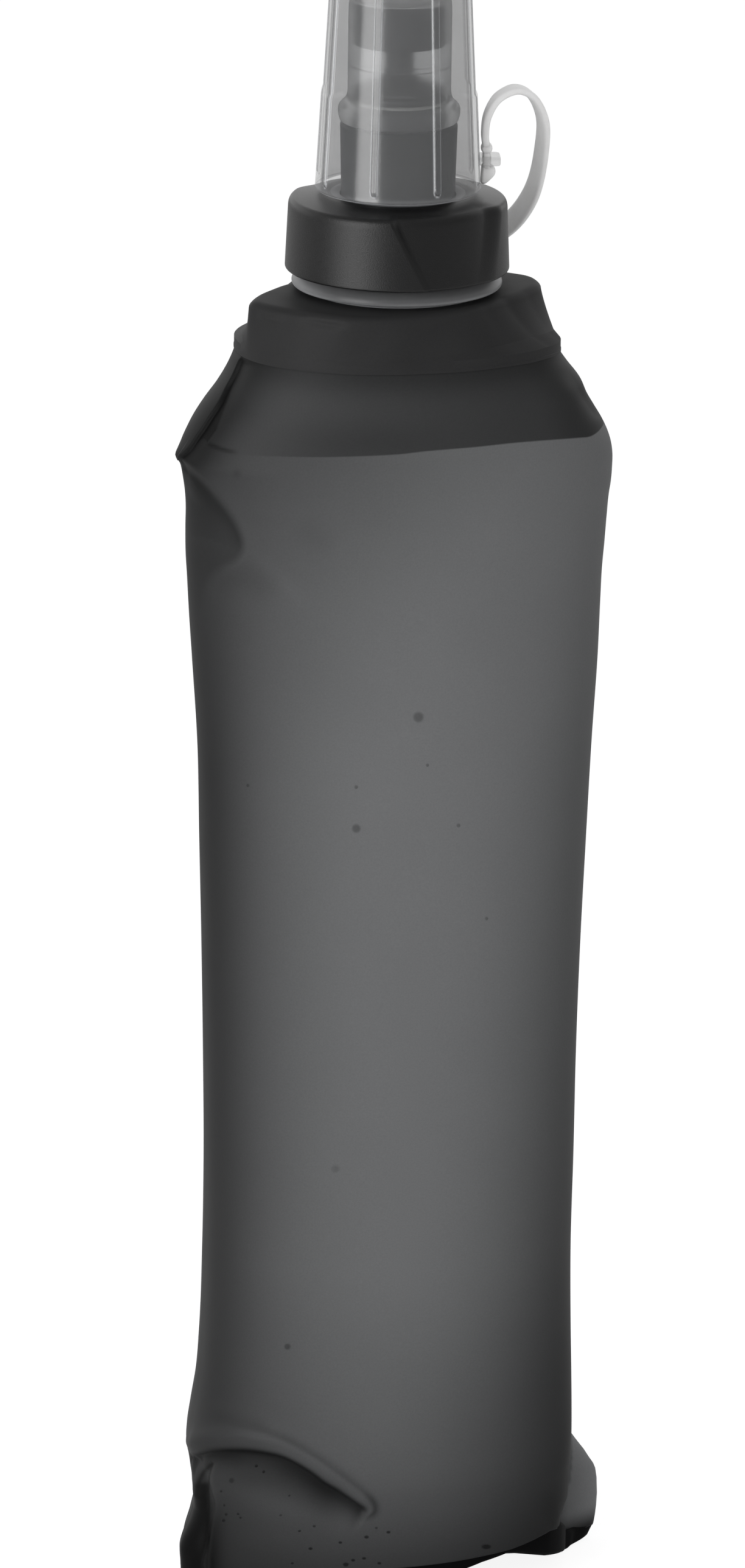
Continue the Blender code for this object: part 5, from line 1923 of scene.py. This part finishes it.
FILM_HEIGHTS = (0.028, 0.050, 0.083, 0.197, 0.240, 0.272)
FILM_LIT_MIDDLE = Table(FILM_HEIGHTS, (-0.15, -0.12, -0.08, 0.0, 0.2, 0.5))
FILM_WET_AND_LIT_PEAK = Table(FILM_HEIGHTS, (0.092, 0.116, 0.146, 0.156, 0.148, 0.138))
FILM_RIGHT_SHADE_DROP = Table(FILM_HEIGHTS, (0.96, 0.96, 0.86, 0.61, 0.38, 0.16))
FILM_LEFT_SHADE_DROP = Table(FILM_HEIGHTS, (0.70, 0.84, 0.88, 0.93, 0.86, 0.80))
FILM_RIGHT_SHADE_POWER = Table(FILM_HEIGHTS, (1.6, 1.6, 2.0, 3.0, 3.5, 4.0))
FILM_LEFT_SHADE_POWER = Table(FILM_HEIGHTS, (1.9, 1.9, 2.1, 2.2, 1.8, 1.2))
FILM_DRY = 0.040
FILM_EAR_LIGHT = 0.170

# Angles, by height in millimetres, of the edges of the painted shade at the left end of the body

LEFT_FOLD = Table(
    (266.0, 268.0, 270.0, 272.0, 274.0, 277.0, 280.0, 283.0, 286.0, 289.0, 293.0),
    (180.0, 182.8, 188.5, 190.8, 191.8, 193.3, 192.5, 190.5, 187.8, 186.5, 187.0),
)
LEFT_EAR = Table(
    (3.0, 9.0, 10.5, 12.0, 15.0, 19.5, 22.5, 25.5),
    (200.0, 199.2, 197.0, 194.0, 192.2, 190.5, 190.8, 192.2),
)
LEFT_EAR_BACK = Table((19.5, 22.5, 26.2), (158.0, 180.0, 189.0))

# Pixels of the water line, from left to right

WATER_LINE = (
    (280, 760), (300, 755), (314, 736), (331, 720), (345, 731), (366, 741), (389, 745.5),
    (415, 748.5), (527, 751), (640, 747.5), (704, 741), (781, 734.5), (852, 727), (945, 719.8),
    (968, 717.5), (981, 710.4), (989, 701.4), (994, 694), (1010, 680),
)

# Folds of the film: two at the upper left corner, then the arch and the ears at the base.
# Their shades are painted shade and painted highlights along the folds and the body's edges

FOLDS: tuple[Crease, ...] = (
    Crease(
        ((405, 566), (399.5, 582), (393.8, 595.4), (384, 618), (374.5, 635.5), (363, 659.6),
         (347, 683.8), (336, 701.4), (324.6, 717.5), (313.4, 735.2), (300.5, 751), (289, 760)),
        rise=(0.0003, -0.0005), width=(30, 18), shade=(0.10, -0.80), shade_width=(14, 46),
        edge=1.6, fade=(0.01, 0.03),
    ),
    Crease(
        ((290, 757), (309, 769), (329, 785), (347, 805), (363, 826), (378, 847), (390, 869),
         (398, 891), (396, 908), (384, 921), (364, 932), (350, 945), (341, 966), (336, 1000),
         (333, 1060), (331, 1200)),
        rise=(-0.0006, 0.0004), width=(30, 24), shade=(-0.42, 0.10), shade_width=(74, 24),
        edge=11, fade=(0.005, 0.55),
    ),
    Crease(
        ((291, 762), (311, 783), (337, 811), (361, 838), (383, 866), (392, 890), (390, 908)),
        shade=(-0.26, -0.20), shade_width=(14, 12), edge=5, fade=(0.05, 0.25),
    ),
    # A painted highlight along the fold's light line
    Crease(
        ((293, 764), (299, 780), (308, 802), (321, 822), (336, 836)),
        shade=(0.45, 0.32), shade_width=(5, 6), edge=3, fade=(0.1, 0.5),
    ),
    Crease(
        ((345, 962), (400, 950), (463, 986)),
        rise=-0.0002, width=28, shade=-0.12, shade_width=26, edge=8, fade=0.3,
    ),
    Crease(
        ((480, 858), (515, 882), (560, 905)),
        shade=-0.08, shade_width=26, fade=0.4,
    ),
    # A painted highlight along a ridge
    Crease(
        ((405, 897), (440, 930), (475, 965), (512, 1004)),
        shade=0.07, shade_width=14, fade=(0.3, 0.4),
    ),
    Crease(
        ((380, 773), (389, 778), (399, 782)),
        shade=-0.2, shade_width=7, fade=0.5,
    ),
    Crease(
        ((340, 727.5), (366, 738.5), (395, 744.5)),
        shade=-0.60, shade_width=3.4, edge=1, fade=(0.1, 0.4),
    ),
    # Painted shade along the right edge
    Crease(
        ((930, 600), (950, 632), (975, 665), (988, 690)),
        rise=-0.0004, width=14, shade=-0.35, shade_width=22, fade=0.3,
    ),
    Crease(
        ((352, 2335), (370.5, 2336.8), (389.5, 2341), (406, 2344), (427.4, 2348.4),
         (448.4, 2355), (469.5, 2363), (490.5, 2373.7), (511.6, 2386.3), (532.6, 2400),
         (553.7, 2415.8), (574.7, 2431.6), (595.8, 2449.5), (610.5, 2464), (618, 2477),
         (616.8, 2488), (606, 2496)),
        rise=-0.0002, width=(4, 9), shade=-0.26, shade_width=(3, 8), edge=1.5, fade=(0.30, 0.08),
    ),
    Crease(
        ((330, 2330), (370, 2330), (410, 2336), (450, 2348)),
        shade=-0.14, shade_width=(10, 12), fade=0.3,
    ),
    Crease(
        ((300, 2376), (311.6, 2371.6), (343, 2365), (368.4, 2361), (395.8, 2359),
         (427.4, 2365), (459, 2371.6), (480, 2380), (501, 2390.5), (522, 2403), (543, 2418),
         (564, 2434.7), (585, 2451.6), (602, 2468.4), (609, 2482)),
        rise=(0.0011, 0.0012), width=(16, 19), shade=(-0.04, 0.0), shade_width=15, edge=3,
        fade=(0.02, 0.30),
    ),
    Crease(
        ((298, 2396), (311.6, 2393), (332.6, 2389), (353.7, 2386), (385.3, 2386),
         (416.8, 2388), (448.4, 2393.4), (469.5, 2400), (490.5, 2411), (511.6, 2424),
         (532.6, 2440), (553.7, 2452), (574.7, 2466), (593, 2479), (607, 2489)),
        rise=(-0.0016, -0.0010), width=(26, 7), shade=-0.78, shade_width=(21, 7), edge=3,
        fade=(0.10, 0.06),
    ),
    Crease(
        ((340, 2402), (380, 2404), (430, 2412), (475, 2426), (515, 2446), (550, 2468),
         (580, 2484)),
        shade=-0.56, shade_width=(40, 26), edge=10, fade=(0.30, 0.25),
    ),
    Crease(
        ((596, 2449), (610.5, 2464), (617, 2477), (615, 2488), (604, 2495), (588, 2496)),
        rise=-0.0004, width=5, shade=-0.30, shade_width=5, edge=2, fade=0.3,
    ),
    # Painted light on the lower slope
    Crease(
        ((345, 2414), (380, 2440), (430, 2462), (490, 2480), (545, 2500), (592, 2508)),
        shade=0.16, shade_width=(20, 24), edge=4, fade=0.3,
    ),
    Crease(
        ((341.5, 2404), (339.5, 2430), (339.5, 2450), (340.5, 2480), (339, 2510), (338, 2540),
         (337, 2640)),
        rise=-0.0004, width=(9, 6), shade=(-0.15, -0.85), shade_width=(12, 4), edge=1.5,
        fade=(0.03, 0.01),
    ),
    Crease(
        ((340.5, 2450), (342, 2490), (343, 2540), (344, 2660)),
        shade=-0.90, shade_width=(5, 19), edge=2, fade=(0.45, 0.01),
    ),
    Crease(
        ((344, 2404), (332.6, 2418), (327.4, 2430.5), (322, 2450.5), (313.7, 2474.7),
         (303, 2502), (296, 2521)),
        shade=-0.85, shade_width=4, edge=1, fade=(0.03, 0.2),
    ),
    # Painted shade along the film's right edge over the ear
    Crease(
        ((942, 2310), (941, 2357), (940, 2400), (936, 2437), (926, 2462), (917, 2472),
         (918, 2498), (903, 2513)),
        shade=(-0.42, 0.0), shade_width=(20, 3), edge=1, fade=(0.3, 0.1),
    ),
    Crease(
        ((334, 2430), (324, 2470), (318, 2510), (316, 2560), (315, 2640)),
        shade=-0.25, shade_width=(17, 15), edge=2, fade=(0.2, 0.01),
    ),
)

WRINKLES: tuple[Crease, ...] = (
    Crease(
        ((492, 524), (515, 529), (545, 534), (575, 537)),
        rise=-0.0004, width=6, fade=0.4,
    ),
    Crease(
        ((420, 517), (440, 522), (470, 529)),
        rise=0.0003, width=6, fade=0.4,
    ),
)

# Bubbles and specks behind the film: pixels across and down, half width and height, and strength

BUBBLES = (
    (687, 1178, 8.5, 8.5, 0.55), (585, 1361, 7.0, 7.0, 0.55), (585, 1293, 3.0, 3.0, 0.5),
    (702, 1257, 2.5, 2.5, 0.5), (407, 1290, 2.5, 2.5, 0.5), (753, 1356, 3.0, 3.0, 0.5),
    (799, 1509, 2.6, 2.6, 0.5), (472, 2212, 5.0, 5.0, 0.6), (550, 1920, 7.0, 6.0, 0.25),
    (799, 2541, 8.0, 4.0, 1.0), (419, 2410, 2.4, 2.0, 1.0), (432, 2419, 2.2, 2.2, 1.0),
    (380, 2432, 4.2, 4.2, 0.6), (363, 2450, 2.0, 2.0, 0.8), (368, 2473, 2.0, 2.0, 0.7),
    (371, 2488, 2.4, 2.4, 0.8), (367, 2498, 3.0, 2.6, 0.9), (391, 2487, 2.2, 1.8, 0.8),
    (395, 2493, 2.0, 1.8, 0.8), (461, 2489, 2.4, 1.8, 0.6), (475, 2457, 1.8, 1.6, 0.6),
    (516, 2507, 2.6, 2.0, 0.8), (492, 2515, 2.6, 1.8, 0.9), (510, 2544, 3.4, 2.4, 1.0),
    (559, 2534, 3.0, 2.0, 1.0), (602, 2525, 3.8, 2.6, 1.0), (638, 2517, 3.4, 2.2, 1.0),
    (618, 2510, 2.2, 1.6, 0.7), (568, 2570, 4.8, 3.4, 1.0), (580, 2563, 3.4, 2.2, 1.0),
    (598, 2560, 3.4, 2.0, 1.0), (623, 2568, 3.2, 2.0, 1.0), (480, 2568, 2.4, 1.8, 0.9),
)


def main() -> None:
    """Build the sub-assemblies in order, hang each piece on its body and set the studio."""
    logging.basicConfig(level=logging.INFO, format="%(message)s")
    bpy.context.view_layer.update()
    view = Viewpoint()
    Studio(view).build()
    pouch = Pouch(view, creases=FOLDS, wrinkles=WRINKLES, bubbles=BUBBLES)
    for assembly in (pouch, Tether(), ScrewCollar(), Valve(), DustCap()):
        for piece, carrier in assembly.build():
            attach(piece, carrier.value)
            LOG.info("%s rides on %s", piece.name, carrier.value)
    CarriedParts(CARRIED_FINISHES).dress()


if __name__ == "__main__":
    main()
